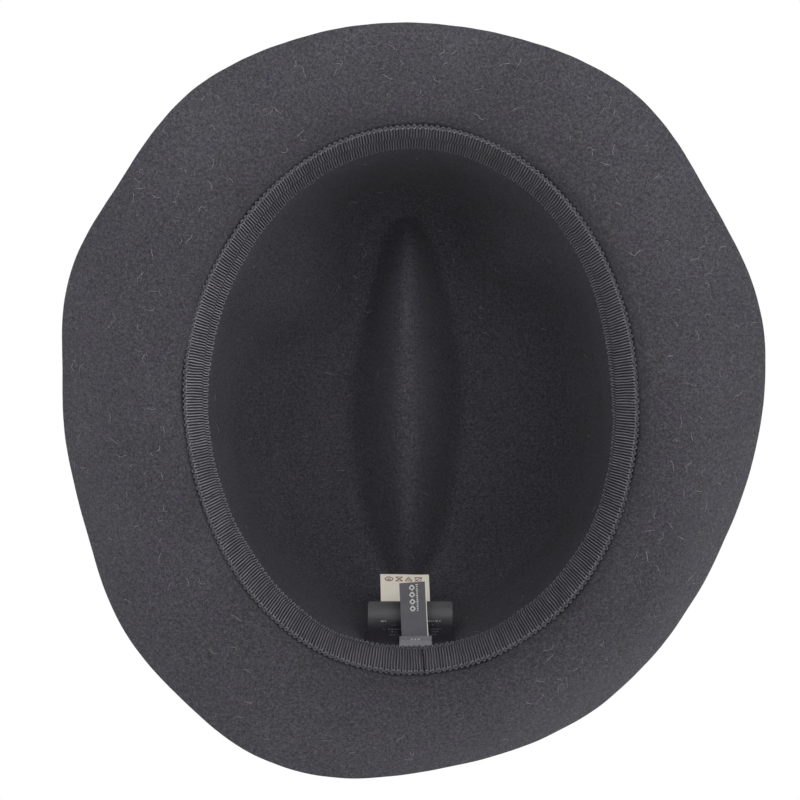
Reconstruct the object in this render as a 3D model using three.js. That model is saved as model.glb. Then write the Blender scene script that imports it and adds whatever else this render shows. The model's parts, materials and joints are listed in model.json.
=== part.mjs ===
// Soft felt fedora, size M, crown up, front towards -Y, wearer's left towards +X.
// One blocked felt body (crown and raw-edged brim), a grosgrain sweatband inside, a grosgrain
// hatband with a flat side bow outside, and a stack of sewn-in labels at the back.
// Millimetres. The hat is designed in a frame whose z = 0 is the plane of the brim break,
// then tipped by REST_PITCH so that it rests on its front brim edge and the back of the break.

import * as THREE from "three";

const { clamp, lerp, smoothstep, smootherstep } = THREE.MathUtils;
const RAD = Math.PI / 180;

// ------------------------------------------------------------------ driving dimensions
const FELT = 2.0;            // felt thickness
const AIR = 0.3;             // gap kept between neighbouring pieces
const THREAD = 0.55;         // sewing thread, across
const SEGS = 60;             // facets round the hat
const REST_PITCH = 3.66;     // degrees the head opening leans when the hat stands on its brim
const REST_LIFT = 6.7;       // height of the brim break plane above the table, at the hat axis
const DATUM_X = -0.68;       // hat axis from the middle of the outline
const DATUM_Y = -2.70;

// All the tables round the hat run counter-clockwise from +X, seen from above.
// outline of the brim: radius every 5 degrees
const RIM_RADIUS = [
  133.5, 132.5, 131.7, 131.1, 130.9, 131.0, 131.3, 131.9, 132.7, 133.9, 135.2, 136.4,
  137.4, 138.0, 138.4, 138.6, 139.1, 139.9, 141.1, 142.6, 144.3, 145.6, 146.1, 145.4,
  144.0, 142.5, 141.3, 140.6, 139.6, 138.0, 135.9, 134.0, 132.8, 132.4, 132.3, 132.3,
  132.4, 133.1, 134.5, 136.0, 137.0, 137.0, 136.4, 136.0, 136.4, 137.6, 138.9, 139.5,
  139.4, 138.7, 138.1, 137.6, 137.2, 136.9, 136.6, 136.4, 136.4, 136.7, 137.4, 138.2,
  139.0, 139.2, 138.7, 137.3, 135.8, 134.6, 134.3, 134.7, 135.4, 135.6, 135.3, 134.5,
];
// brim edge over the break plane, every 10 degrees: turned down in front, up behind
const RIM_HEIGHT = [
  17.4, 19.7, 21.3, 22.4, 23.0, 23.1, 22.6, 21.1, 18.6, 15.4, 12.1, 9.9,
  9.5, 11.1, 14.0, 17.2, 19.3, 19.7, 18.3, 15.6, 12.1, 8.0, 3.4, -1.7,
  -7.4, -12.7, -15.3, -15.0, -15.3, -12.7, -7.4, -1.9, 3.1, 7.5, 11.3, 14.6,
];
// head oval: radius of the sweatband's sewn edge, every 10 degrees
const HEAD_RADIUS = [
  84.6, 85.4, 87.1, 89.6, 92.5, 95.4, 98.1, 100.3, 101.8, 102.5, 102.1, 100.6,
  98.1, 94.9, 91.6, 88.7, 86.7, 85.8, 85.8, 86.4, 87.4, 89.0, 91.0, 93.7,
  96.7, 99.6, 101.8, 102.8, 102.2, 100.3, 97.4, 94.0, 90.8, 88.1, 86.1, 84.9,
];
// the sweatband's free edge, which stands off the wall: radius every 10 degrees
const FREE_EDGE = [
  76.8, 78.4, 81.3, 83.3, 84.9, 88.1, 90.6, 93.2, 95.2, 95.9, 95.5, 93.3,
  90.9, 86.8, 83.7, 81.7, 79.9, 78.6, 78.5, 78.7, 79.6, 81.8, 83.9, 86.7,
  90.6, 94.4, 96.1, 95.3, 96.5, 95.6, 91.3, 87.0, 84.4, 82.0, 79.2, 77.2,
];

const BREAK_RADIUS = 6.0;    // inside radius of the turn from brim to crown
const SEAM_ON_BREAK = 40;    // degrees round that turn where the sweatband is sewn
const BRIM_CURL = {
  downAt: -12, upAt: 4,      // edge heights at which the brim is fully of one shape or the other
  upPower: 2.1,              // how late a turned-up brim rises
};
// crown block before creasing: [share of the foot of the crown, height]
const CROWN = [
  [1.0, 6], [0.968, 30], [0.94, 50], [0.9, 70], [0.855, 83],
  [0.76, 94.5], [0.61, 102.5], [0.42, 107.5], [0.2, 110.5], [0, 111.5],
];
const CROWN_STEPS = CROWN.length - 1;
const CROWN_HEIGHT = CROWN[CROWN_STEPS][1];
const SHOULDER_SHARE = 4 / CROWN_STEPS;   // where the crown wall turns over into the top
const CROWN_TILT = { slope: 0.055, from: 30, full: 90 };   // the crown stands higher in front
const DENT = {
  depth: 31, halfWidth: 27, endHalfWidth: 9,
  x: -1.5, front: -77, back: 80,
  frontPower: 4.0, backPower: 2.6,        // how abruptly each end runs out
  from: 70, full: 95,                     // heights between which the dent takes hold
};
const SPINE = { front: -60, back: 62 };   // ends of the line along the bottom of the dent
const PINCHES = [
  { at: [-48, -46, 86], push: [14.5, 9.0, -6.0], reach: 27 },
  { at: [43, -59, 87], push: [-9.0, 6.5, -3.5], reach: 23 },
];

const SWEATBAND = {
  thick: 0.7, top: 29.5,
  leanFrom: 10, leanPower: 1.35,          // height where it leaves the wall, and how late
  leastLean: 0.4, mostLean: 5.0,
  labelLean: 2.6, labelReach: 15 * RAD,   // lean behind the labels, and the angle it spans
  joinAt: 87.4,                           // degrees from +X
  halfSlit: 0.0035,                       // half the gap between the ends, in radians
};
const HATBAND = { thick: 0.6, low: 8.5, high: 44.5, halfSlit: 0.004 };
const HATBAND_FACE = FELT + AIR + HATBAND.thick;   // its outer face, off the felt's inner surface
const BOW_AT = 1.0;          // degrees from +X, also where the hatband's ends meet

const LABEL_ROUGHNESS = 0.7;
const FINISH = {
  felt: { color: 0x4b4a50, roughness: 0.95 },
  sweatband: { color: 0x46454a, roughness: 0.8 },
  ribbon: { color: 0x1f1f22, roughness: 0.75 },
  insideThread: { color: 0x2c2b30, roughness: 0.7 },
  tackThread: { color: 0x18181a, roughness: 0.7 },
};

// ------------------------------------------------------------------ vectors and curves
const minus = (a, b) => a.map((value, i) => value - b[i]);
const shifted = (point, direction, distance) =>
  point.map((value, i) => value + distance * direction[i]);
const dot = (a, b) => a[0] * b[0] + a[1] * b[1] + a[2] * b[2];
const cross = (a, b) => [
  a[1] * b[2] - a[2] * b[1],
  a[2] * b[0] - a[0] * b[2],
  a[0] * b[1] - a[1] * b[0],
];
const unit = (a) => a.map((value) => value / Math.hypot(...a));

/** Smooth closed curve through evenly spaced samples, kept to a number of harmonics. */
function periodic(samples, harmonics) {
  const count = samples.length;
  const terms = Array.from({ length: harmonics + 1 }, (_, k) => {
    const amplitude = (wave) => (k ? 2 : 1) / count * samples.reduce(
      (sum, value, i) => sum + value * wave(2 * Math.PI * k * i / count), 0);
    return { cos: amplitude(Math.cos), sin: amplitude(Math.sin) };
  });
  return (phi) => terms.reduce(
    (sum, term, k) => sum + term.cos * Math.cos(k * phi) + term.sin * Math.sin(k * phi), 0);
}

/** Natural cubic spline through values at 0, 1, 2, ... */
function spline(values) {
  const count = values.length;
  const bend = new Array(count).fill(0);         // second derivative at each value
  const factor = new Array(count).fill(0);       // forward sweep of the tridiagonal system
  const right = new Array(count).fill(0);
  for (let i = 1; i < count - 1; i++) {
    const pivot = 4 - factor[i - 1];
    const second = values[i + 1] - 2 * values[i] + values[i - 1];
    factor[i] = 1 / pivot;
    right[i] = (6 * second - right[i - 1]) / pivot;
  }
  for (let i = count - 2; i > 0; i--) bend[i] = right[i] - factor[i] * bend[i + 1];
  return (x) => {
    const i = clamp(Math.floor(x), 0, count - 2);
    const t = x - i;
    const s = 1 - t;
    return s * values[i] + t * values[i + 1]
      + ((s ** 3 - s) * bend[i] + (t ** 3 - t) * bend[i + 1]) / 6;
  };
}

/** Largest number in 0..1 for which a test that starts true still holds, by halving. */
function lastWhere(holds) {
  let low = 0;
  let high = 1;
  for (let i = 0; i < 40; i++) {
    const middle = (low + high) / 2;
    if (holds(middle)) low = middle;
    else high = middle;
  }
  return (low + high) / 2;
}

const stepAngle = (i) => 2 * Math.PI * i / SEGS;
const rimRadius = periodic(RIM_RADIUS, 13);
const rimHeight = periodic(RIM_HEIGHT, 7);
const headRadius = periodic(HEAD_RADIUS, 5);
const freeEdgeRadius = periodic(FREE_EDGE, 6);
const footRadius = (phi) =>
  headRadius(phi) - BREAK_RADIUS * (1 - Math.cos(SEAM_ON_BREAK * RAD));

// The crown block by "climb": 0 at the break, 1 at the tip.
const widthSpline = spline(CROWN.map(([width]) => width));
const heightSpline = spline(CROWN.map(([, height]) => height));
const crownWidth = (climb) => widthSpline(climb * CROWN_STEPS);
const crownHeight = (climb) => heightSpline(climb * CROWN_STEPS);

// ------------------------------------------------------------------ the felt's inner surface
// v runs along the felt: 0 at the brim edge, 1 where the brim meets the turn, 2 at the foot of
// the crown wall, 3 on the line along the bottom of the dent.
const SHOULDER = 2 + SHOULDER_SHARE;
const onTurn = (degrees) => 2 - degrees / 90;    // v at an angle round the turn, from the wall
const wallAt = (z) => 2 + lastWhere((climb) => crownHeight(climb) < z);
const polar = (r, phi, z) => [r * Math.cos(phi), r * Math.sin(phi), z];

function brim(phi, v) {
  const t = 1 - v;
  const height = rimHeight(phi);
  const up = smootherstep(height, BRIM_CURL.downAt, BRIM_CURL.upAt);
  const rise = lerp(smoothstep(t, 0, 1), Math.pow(t, BRIM_CURL.upPower), up);
  return polar(lerp(footRadius(phi) + BREAK_RADIUS, rimRadius(phi), t), phi, height * rise);
}

function turn(phi, v) {
  const angle = (2 - v) * Math.PI / 2;
  const r = footRadius(phi) + BREAK_RADIUS * (1 - Math.cos(angle));
  return polar(r, phi, BREAK_RADIUS * (1 - Math.sin(angle)));
}

function crownWall(phi, v) {
  return polar(footRadius(phi) * crownWidth(v - 2), phi, crownHeight(v - 2));
}

/** Crown top: rings that close from the shoulder on to the line of the dent. */
function crownTop(phi, v) {
  const w = Math.min(1, (v - SHOULDER) / (3 - SHOULDER));
  const r = footRadius(phi) * crownWidth(SHOULDER_SHARE);
  const sine = Math.sin(phi);
  const x = r * Math.cos(phi) * (1 - w);
  const y = r * sine * (1 - w) + (sine < 0 ? SPINE.front : SPINE.back) * Math.abs(sine) * w;
  const share = Math.hypot(x, y) / footRadius(Math.atan2(y, x));
  return [x, y, crownHeight(lastWhere((climb) => crownWidth(climb) > share))];
}

/** Tilt the crown, press in the centre dent and add the two front pinches. */
function crease([x, y, blockZ]) {
  const tilt = CROWN_TILT.slope * -y * (blockZ / CROWN_HEIGHT) ** 2;
  const z = blockZ + tilt * smootherstep(blockZ, CROWN_TILT.from, CROWN_TILT.full);

  const end = Math.min(1, Math.abs(y) / (y < 0 ? -DENT.front : DENT.back));
  const halfWidth = lerp(DENT.halfWidth, DENT.endHalfWidth, end * end);
  const sideways = Math.min(1, Math.abs(x - DENT.x) / halfWidth);
  const across = 0.5 + 0.5 * Math.cos(Math.PI * sideways);
  const along = 1 - Math.pow(end, y < 0 ? DENT.frontPower : DENT.backPower);
  const sink = DENT.depth * across * along * smootherstep(z, DENT.from, DENT.full);

  let creased = [x, y, z - sink];
  for (const pinch of PINCHES) {
    const away = minus([x, y, z], pinch.at);
    const weight = Math.exp(-dot(away, away) / pinch.reach ** 2);
    creased = shifted(creased, pinch.push, weight);
  }
  return creased;
}

function inner(phi, v) {
  if (v < 1) return brim(phi, v);
  if (v < 2) return turn(phi, v);
  return crease(v < SHOULDER ? crownWall(phi, v) : crownTop(phi, v));
}

/** Point a distance off the felt's inner surface, positive outwards. */
function skin(phi, v, off) {
  const step = 1e-3;
  const point = inner(phi, v);
  if (v > 3 - step) return shifted(point, [0, 0, 1], off);
  const round = minus(inner(phi + step, v), inner(phi - step, v));
  const along = minus(inner(phi, v + step), inner(phi, Math.max(0, v - step)));
  return shifted(point, unit(cross(round, along)), off);
}

// ------------------------------------------------------------------ closed solids
/** The two triangles of a four-cornered face. */
const quad = (a, b, c, d) => [[a, b, c], [a, c, d]];

/** Closed geometry, its faces turned outwards if they all face inwards. */
function solid(points, faces) {
  let volume = 0;
  for (const [a, b, c] of faces) volume += dot(points[a], cross(points[b], points[c]));
  const index = volume > 0 ? faces.flat() : faces.flatMap(([a, b, c]) => [a, c, b]);
  const geometry = new THREE.BufferGeometry();
  geometry.setAttribute("position", new THREE.Float32BufferAttribute(points.flat(), 3));
  geometry.setIndex(index);
  geometry.computeVertexNormals();
  return geometry;
}

/** Section of a flat piece: along one face and back along the other. */
const slab = (near, far) => [...near, ...far.reverse()];

/** Solid through a row of closed sections; open rows get ladder caps across each end. */
function loft(sections, closed) {
  const size = sections[0].length;
  const count = sections.length;
  const faces = [];
  for (let i = 0; i < (closed ? count : count - 1); i++) {
    const a = i * size;
    const b = ((i + 1) % count) * size;
    for (let j = 0; j < size; j++) {
      const k = (j + 1) % size;
      faces.push(...quad(a + j, b + j, b + k, a + k));
    }
  }
  if (!closed) {
    const last = (count - 1) * size;
    for (let j = 0; j < size / 2 - 1; j++) {
      const k = size - 1 - j;
      faces.push(...quad(j, j + 1, k - 1, k));
      faces.push(...quad(last + j, last + k, last + k - 1, last + j + 1));
    }
  }
  return solid(sections.flat(), faces);
}

/** The entries before and after path[i]; an open path stops at its ends. */
function neighbours(path, i, closed) {
  const count = path.length;
  return closed
    ? [path[(i + count - 1) % count], path[(i + 1) % count]]
    : [path[Math.max(0, i - 1)], path[Math.min(count - 1, i + 1)]];
}

/** For each entry of a flat path, its two points half a thickness to either side. */
function bothSides(path, thick, closed) {
  return path.map(([x, y], i) => {
    const [before, after] = neighbours(path, i, closed);
    const dx = after[0] - before[0];
    const dy = after[1] - before[1];
    const scale = thick / 2 / Math.hypot(dx, dy);
    return [[x - dy * scale, y + dx * scale], [x + dy * scale, y - dx * scale]];
  });
}

/** Ribbon once round the hat with a slit at joinAt; line(phi, depth) is a row of one face. */
function band(joinAt, halfSlit, [nearDepth, farDepth], line) {
  const sections = [];
  for (let i = 0; i <= SEGS; i++) {
    let phi = joinAt * RAD + stepAngle(i);
    if (i === 0) phi += halfSlit;
    if (i === SEGS) phi -= halfSlit;
    sections.push(slab(line(phi, nearDepth), line(phi, farDepth)));
  }
  return loft(sections, false);
}

/** One place on a thread's path, with the direction away from the felt. */
const stitch = (phi, v, off) => ({
  point: skin(phi, v, off),
  normal: minus(skin(phi, v, 1), skin(phi, v, 0)),
});

/** Thread lying along a path of stitches, square in section. */
function thread(path, closed) {
  const half = THREAD / 2;
  return loft(path.map(({ point, normal }, i) => {
    const [before, after] = neighbours(path, i, closed);
    const along = unit(minus(after.point, before.point));
    const side = unit(cross(normal, along));
    const up = unit(cross(along, side));
    return [[-1, -1], [1, -1], [1, 1], [-1, 1]].map(
      ([s, u]) => shifted(shifted(point, side, s * half), up, u * half));
  }), closed);
}

function mesh(name, geometry, finish, parent) {
  const material = new THREE.MeshStandardMaterial({ ...finish, metalness: 0 });
  const piece = new THREE.Mesh(geometry, material);
  piece.name = name;
  parent.add(piece);
  return piece;
}

// ------------------------------------------------------------------ felt body
// v of the rows on the brim and turn, heights on the wall, shares from shoulder to dent line
const BRIM_ROWS = [0, 0.07, 0.2, 0.38, 0.56, 0.73, 0.86, 0.93, 1, 1.33, 1.67, 2];
const WALL_ROWS = [18, 29.5, 46, 64, 76];
const TOP_ROWS = [0.04, 0.12, 0.21, 0.3, 0.39, 0.47, 0.54, 0.6, 0.66, 0.72, 0.78, 0.84, 0.91];
const TABLE_UP = [0, Math.sin(-REST_PITCH * RAD), Math.cos(-REST_PITCH * RAD)];

/** The felt touches the table on two flat patches: anything lower is pressed level. */
function press(point) {
  const height = dot(point, TABLE_UP) + REST_LIFT;
  return height < 0 ? shifted(point, TABLE_UP, -height) : point;
}

/** Inner surface from the brim edge up to the line of the dent, and the outer one over it. */
function feltBody() {
  const rows = [
    ...BRIM_ROWS,
    ...WALL_ROWS.map(wallAt),
    ...TOP_ROWS.map((share) => lerp(SHOULDER, 3, share)),
  ];
  const count = rows.length;
  const half = SEGS / 2;
  const points = [];
  for (const off of [0, FELT]) {
    for (const v of rows) {
      for (let i = 0; i < SEGS; i++) {
        const point = skin(stepAngle(i), v, off);
        points.push(off === 0 ? press(point) : point);
      }
    }
  }
  // the two sides of the last ring share one line of points, from front to back
  const spineStart = [0, FELT].map((off) => {
    const first = points.length;
    for (let k = 0; k <= half; k++) points.push(skin(-Math.PI / 2 + stepAngle(k), 3, off));
    return first;
  });
  const at = (side, row, i) => {
    if (row < count) return (side * count + row) * SEGS + (i % SEGS);
    const k = (i + SEGS / 4) % SEGS;             // steps from the front
    return spineStart[side] + (k <= half ? k : SEGS - k);
  };
  const faces = [];
  for (let i = 0; i < SEGS; i++) {
    const j = i + 1;
    for (let r = 0; r < count; r++) {
      faces.push(...quad(at(0, r, i), at(0, r + 1, i), at(0, r + 1, j), at(0, r, j)));
      faces.push(...quad(at(1, r, i), at(1, r, j), at(1, r + 1, j), at(1, r + 1, i)));
    }
    faces.push(...quad(at(0, 0, i), at(0, 0, j), at(1, 0, j), at(1, 0, i)));
  }
  // triangles collapse where the last ring meets the ends of the line
  return solid(points, faces.filter((face) => new Set(face).size === 3));
}

// ------------------------------------------------------------------ sweatband
/** Offset of the sweatband's outer face: it leans off the wall towards its free edge. */
function sweatbandOff(phi, z) {
  const { leanFrom, top, thick, leastLean, mostLean, labelLean, labelReach } = SWEATBAND;
  const fromBack = Math.atan2(Math.sin(phi - Math.PI / 2), Math.cos(phi - Math.PI / 2));
  const back = Math.exp(-((fromBack / labelReach) ** 4));
  const wall = inner(phi, wallAt(top));
  const free = Math.hypot(wall[0], wall[1]) - freeEdgeRadius(phi) - thick;
  const lean = lerp(clamp(free, leastLean, mostLean), labelLean, back);
  const t = clamp((z - leanFrom) / (top - leanFrom), 0, 1);
  return -(AIR + lean * Math.pow(t, SWEATBAND.leanPower));
}

/** Petersham ribbon sewn along the break; its two ends meet near the middle of the back. */
function sweatband() {
  const rows = [[onTurn(SEAM_ON_BREAK), 0], [onTurn(18), 0]];   // [v, height for the lean]
  for (const z of [12, 20, SWEATBAND.top]) rows.push([wallAt(z), z]);
  const line = (phi, depth) => rows.map(([v, z]) => skin(phi, v, sweatbandOff(phi, z) + depth));
  return band(SWEATBAND.joinAt, SWEATBAND.halfSlit, [-SWEATBAND.thick, 0], line);
}

const sweatbandStitch = (phi, v, z) =>
  stitch(phi, v, sweatbandOff(phi, z) - SWEATBAND.thick - AIR - THREAD / 2);

/** The seam that holds the sweatband: one thread all the way round, near the sewn edge. */
function sweatbandSeam() {
  const path = [];
  for (let i = 0; i < SEGS; i++) path.push(sweatbandStitch(stepAngle(i), onTurn(27), 0));
  return thread(path, true);
}

/** Bar tack that joins the sweatband's two ends at the back. */
function sweatbandJoin() {
  const heights = [9, 13, 17, 21, 25];
  const phi = SWEATBAND.joinAt * RAD;
  return thread(heights.map((z) => sweatbandStitch(phi, wallAt(z), z)), false);
}

// ------------------------------------------------------------------ hatband
/** Ribbon round the foot of the crown, its ends meeting under the bow. */
function hatband() {
  const rows = [HATBAND.low, 20, 32, HATBAND.high].map(wallAt);
  const line = (phi, depth) => rows.map((v) => skin(phi, v, FELT + AIR + depth));
  return band(BOW_AT, HATBAND.halfSlit, [0, HATBAND.thick], line);
}

const TACK = {
  stops: [-2.2, -0.7, 0.7, 2.2],                 // arc lengths along the thread
  below: 2.2,                                    // under the hatband's upper edge
  crownRadius: 100,                              // turns arc length into angle
};

/** Thread tack that holds down the upper edge of the hatband. */
function hatbandTack(phi) {
  const v = wallAt(HATBAND.high - TACK.below);
  const off = HATBAND_FACE + AIR + THREAD / 2;
  return thread(TACK.stops.map((s) => stitch(phi + s / TACK.crownRadius, v, off)), false);
}

// ------------------------------------------------------------------ bow, on the wearer's left
// Placed by arc length s from BOW_AT (positive towards the back), height z, and distance off
// the hatband.
const BOW_CROWN_RADIUS = 90;                     // turns arc length into angle
const TAIL = {
  thick: 0.6, off: 0.7, low: 10.5, high: 42.5,
  from: -20, to: 42, cutFrom: 30, cutRise: 13, steps: 12,
};
const LOOPS = {
  thick: 0.6, off: 2.35, gap: 2.6, low: 10, high: 43,
  reach: 31,                                     // arc length where the end turns begin
  waist: 4.5, waistReach: 11,                    // draw-in at the middle
};
const KNOT = { thick: 0.5, halfWidth: 6.5, low: 11.2, high: 41.8, under: 1.42, over: 6.25 };

const onCrown = (s, z, off) =>
  skin(BOW_AT * RAD + s / BOW_CROWN_RADIUS, wallAt(z), HATBAND_FACE + off);

/** Upright ribbon following a path of [arc length, distance off, low z, high z]. */
function upright(path, thick, closed) {
  return loft(bothSides(path, thick, closed).map((sides, i) => {
    const heights = path[i].slice(2);
    const [near, far] = sides.map(([s, off]) => heights.map((z) => onCrown(s, z, off)));
    return slab(near, far);
  }), closed);
}

/** Short flat length of ribbon under the loops, pointing back, cut on the slant. */
function bowTail() {
  const path = [];
  for (let i = 0; i <= TAIL.steps; i++) {
    const s = lerp(TAIL.from, TAIL.to, i / TAIL.steps);
    const cut = Math.max(0, (s - TAIL.cutFrom) / (TAIL.to - TAIL.cutFrom)) * TAIL.cutRise;
    path.push([s, TAIL.off, TAIL.low + cut, TAIL.high]);
  }
  return upright(path, TAIL.thick, false);
}

/** One folded ribbon, a flattened ring drawn in at the middle. */
function bowLoops() {
  const { off, gap, reach } = LOOPS;
  const turnRadius = gap / 2;
  const heights = (s) => {
    const waist = LOOPS.waist * Math.exp(-((s / LOOPS.waistReach) ** 2));
    return [LOOPS.low + waist, LOOPS.high - waist];
  };
  const endTurn = (s, angles) => angles.map((angle) => [
    s + turnRadius * Math.cos(angle * RAD),
    off + turnRadius + turnRadius * Math.sin(angle * RAD),
    ...heights(s),
  ]);
  const stops = [-reach, -24, -17, -10, -4, 4, 10, 17, 24, reach];
  const path = [
    ...stops.map((s) => [s, off, ...heights(s)]),
    ...endTurn(reach, [-45, 0, 45]),
    ...stops.reverse().map((s) => [s, off + gap, ...heights(s)]),
    ...endTurn(-reach, [135, 180, 225]),
  ];
  return upright(path, LOOPS.thick, true);
}

/** Narrow ribbon wrapped round the middle of the loops. */
function bowKnot() {
  const { low, high, under, over, halfWidth } = KNOT;
  const middle = (under + over) / 2;
  const heights = [low + 1, 20, 26.5, 33, high - 1];
  const ring = [                                 // [z, distance off], seen from the side
    ...heights.map((z) => [z, under]),
    [high, middle],
    ...heights.reverse().map((z) => [z, over]),
    [low, middle],
  ];
  return loft(bothSides(ring, KNOT.thick, true).map((sides) => {
    const [near, far] = sides.map(
      ([z, off]) => [-halfWidth, 0, halfWidth].map((s) => onCrown(s, z, off)));
    return slab(near, far);
  }), true);
}

// ------------------------------------------------------------------ labels at the back
// Each is modelled about the line it bends on: y towards the back, z up, x across.
const LABEL_AXIS_Z = 31.6;   // the labels bend just above the free edge of the sweatband
const LABELS = [
  {
    name: "size_tab", y: 92.8, x: 1.6, width: 12.6, thick: 0.4, color: 0x5f5f61,
    path: [[0, 0], [-0.5, 1.9], [-1.2, 3.9]],
  },
  {
    name: "woven_label", y: 93.7, x: 0.9, width: 10.0, thick: 0.4, color: 0x535257,
    path: [[0, 0], [-1.6, 4.4], [-4.2, 7.2], [-9.5, 9.6], [-15.6, 11.2], [-21.6, 12.0]],
  },
  {
    name: "satin_label", y: 94.4, x: -0.4, width: 33.6, thick: 0.5, color: 0x3a393d,
    path: [[0, 0], [-1.1, 5.0], [-3.3, 10.2], [-6.2, 14.4], [-10.4, 17.0], [-15.0, 18.0]],
  },
  {
    name: "care_label", y: 95.1, x: -1.9, width: 19.6, thick: 0.3, color: 0xccc7bb,
    path: [[0, 0], [-1.0, 6.0], [-3.2, 13.0], [-7.6, 19.6], [-15.6, 27.0], [-24.8, 34.6]],
  },
];
const LABEL_STITCH = { stops: [-15, -9, -3, 3, 9, 15], y: 94, below: 3.2 };

/** Flat woven strip of a given width following a side-view path of [y, z]. */
function strip({ path, width, thick }) {
  const sides = bothSides(path, thick, false);
  const outline = slab(sides.map(([near]) => near), sides.map(([, far]) => far));
  return loft([-width / 2, width / 2].map((x) => outline.map(([y, z]) => [x, y, z])), false);
}

function labelStack() {
  const labels = new THREE.Group();
  labels.position.set(0, 0, LABEL_AXIS_Z);
  for (const label of LABELS) {
    const finish = { color: label.color, roughness: LABEL_ROUGHNESS };
    mesh(label.name, strip(label), finish, labels).position.set(label.x, label.y, 0);
  }
  return labels;
}

/** The row of stitches that fastens the label stack to the sweatband. */
function labelStitches() {
  const z = SWEATBAND.top - LABEL_STITCH.below;
  const angles = LABEL_STITCH.stops.map((x) => Math.atan2(LABEL_STITCH.y, x));
  return thread(angles.map((phi) => sweatbandStitch(phi, wallAt(z), z)), false);
}

// ------------------------------------------------------------------ the hat
const part = new THREE.Group();
const hat = new THREE.Group();                   // design frame inside the resting frame
hat.rotation.x = -REST_PITCH * RAD;
hat.position.set(DATUM_X, DATUM_Y, REST_LIFT);
part.add(hat);

mesh("felt_body", feltBody(), FINISH.felt, hat);
mesh("sweatband", sweatband(), FINISH.sweatband, hat);
mesh("sweatband_seam_thread", sweatbandSeam(), FINISH.insideThread, hat);
mesh("sweatband_join_thread", sweatbandJoin(), FINISH.insideThread, hat);
mesh("hatband", hatband(), FINISH.ribbon, hat);
mesh("bow_tail", bowTail(), FINISH.ribbon, hat);
mesh("bow_loops", bowLoops(), FINISH.ribbon, hat);
mesh("bow_knot", bowKnot(), FINISH.ribbon, hat);
mesh("hatband_tack_front", hatbandTack(-90 * RAD), FINISH.tackThread, hat);
mesh("hatband_tack_back", hatbandTack(90 * RAD), FINISH.tackThread, hat);
hat.add(labelStack());
mesh("label_stitch_thread", labelStitches(), FINISH.insideThread, hat);

export default part;
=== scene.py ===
"""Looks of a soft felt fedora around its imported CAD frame.

Blender 4.5, metres, crown up (+Z), front towards -Y, the wearer's left towards +X, where the
bow sits. The hat is designed in millimetres in its own upright frame, with z = 0 at the plane
where the brim meets the crown; to_row() leans it onto its brim edge and gives metres.
"""

import json
import math

import bpy
import numpy as np
from mathutils import Matrix, Vector

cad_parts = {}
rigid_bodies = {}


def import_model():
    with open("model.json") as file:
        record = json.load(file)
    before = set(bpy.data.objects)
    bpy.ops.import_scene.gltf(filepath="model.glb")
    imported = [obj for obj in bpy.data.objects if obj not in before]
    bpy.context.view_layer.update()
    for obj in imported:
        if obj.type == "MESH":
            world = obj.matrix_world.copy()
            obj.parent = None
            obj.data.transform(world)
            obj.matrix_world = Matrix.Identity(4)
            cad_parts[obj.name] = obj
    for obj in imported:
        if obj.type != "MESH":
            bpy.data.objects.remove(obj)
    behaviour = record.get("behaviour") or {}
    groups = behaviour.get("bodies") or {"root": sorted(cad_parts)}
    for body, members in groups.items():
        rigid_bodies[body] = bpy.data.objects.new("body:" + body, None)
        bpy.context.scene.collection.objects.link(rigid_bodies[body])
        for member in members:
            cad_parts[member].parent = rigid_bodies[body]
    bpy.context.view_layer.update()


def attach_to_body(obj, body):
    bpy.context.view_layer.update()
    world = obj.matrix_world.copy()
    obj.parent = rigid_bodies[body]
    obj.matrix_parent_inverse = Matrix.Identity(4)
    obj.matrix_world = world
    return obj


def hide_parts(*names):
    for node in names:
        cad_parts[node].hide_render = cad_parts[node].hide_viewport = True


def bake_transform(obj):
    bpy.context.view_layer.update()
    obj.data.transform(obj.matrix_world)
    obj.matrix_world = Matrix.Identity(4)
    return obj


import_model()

RAD = math.pi / 180

# ------------------------------------------------------------------ measures, millimetres
FELT = 2.0                         # thickness of the felt
AIR = 0.3                          # gap between the felt and a ribbon
PITCH = -3.66 * RAD                # lean of the hat as it stands on its brim edge
SHIFT = np.array([-0.68, -2.70, 6.7])

# Outlines sampled at even angles all round, from +X towards +Y.
RIM_RADIUS = [
    133.5, 132.5, 131.7, 131.1, 130.9, 131.0, 131.3, 131.9, 132.7, 133.9, 135.2, 136.4,
    137.4, 138.0, 138.4, 138.6, 139.1, 139.9, 141.1, 142.6, 144.3, 145.6, 146.1, 145.4,
    144.0, 142.5, 141.3, 140.6, 139.6, 138.0, 135.9, 134.0, 132.8, 132.4, 132.3, 132.3,
    132.4, 133.1, 134.5, 136.0, 137.0, 137.0, 136.4, 136.0, 136.4, 137.6, 138.9, 139.5,
    139.4, 138.7, 138.1, 137.6, 137.2, 136.9, 136.6, 136.4, 136.4, 136.7, 137.4, 138.2,
    139.0, 139.2, 138.7, 137.3, 135.8, 134.6, 134.3, 134.7, 135.4, 135.6, 135.3, 134.5]
RIM_HEIGHT = [
    17.4, 19.7, 21.3, 22.4, 23.0, 23.1, 22.6, 21.1, 18.6, 15.4, 12.1, 9.9,
    9.5, 11.1, 14.0, 17.2, 19.3, 19.7, 18.3, 15.6, 12.1, 8.0, 3.4, -1.7,
    -7.4, -12.7, -15.3, -15.0, -15.3, -12.7, -7.4, -1.9, 3.1, 7.5, 11.3, 14.6]
HEAD_RADIUS = [
    84.6, 85.4, 87.1, 89.6, 92.5, 95.4, 98.1, 100.3, 101.8, 102.5, 102.1, 100.6,
    98.1, 94.9, 91.6, 88.7, 86.7, 85.8, 85.8, 86.4, 87.4, 89.0, 91.0, 93.7,
    96.7, 99.6, 101.8, 102.8, 102.2, 100.3, 97.4, 94.0, 90.8, 88.1, 86.1, 84.9]
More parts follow.
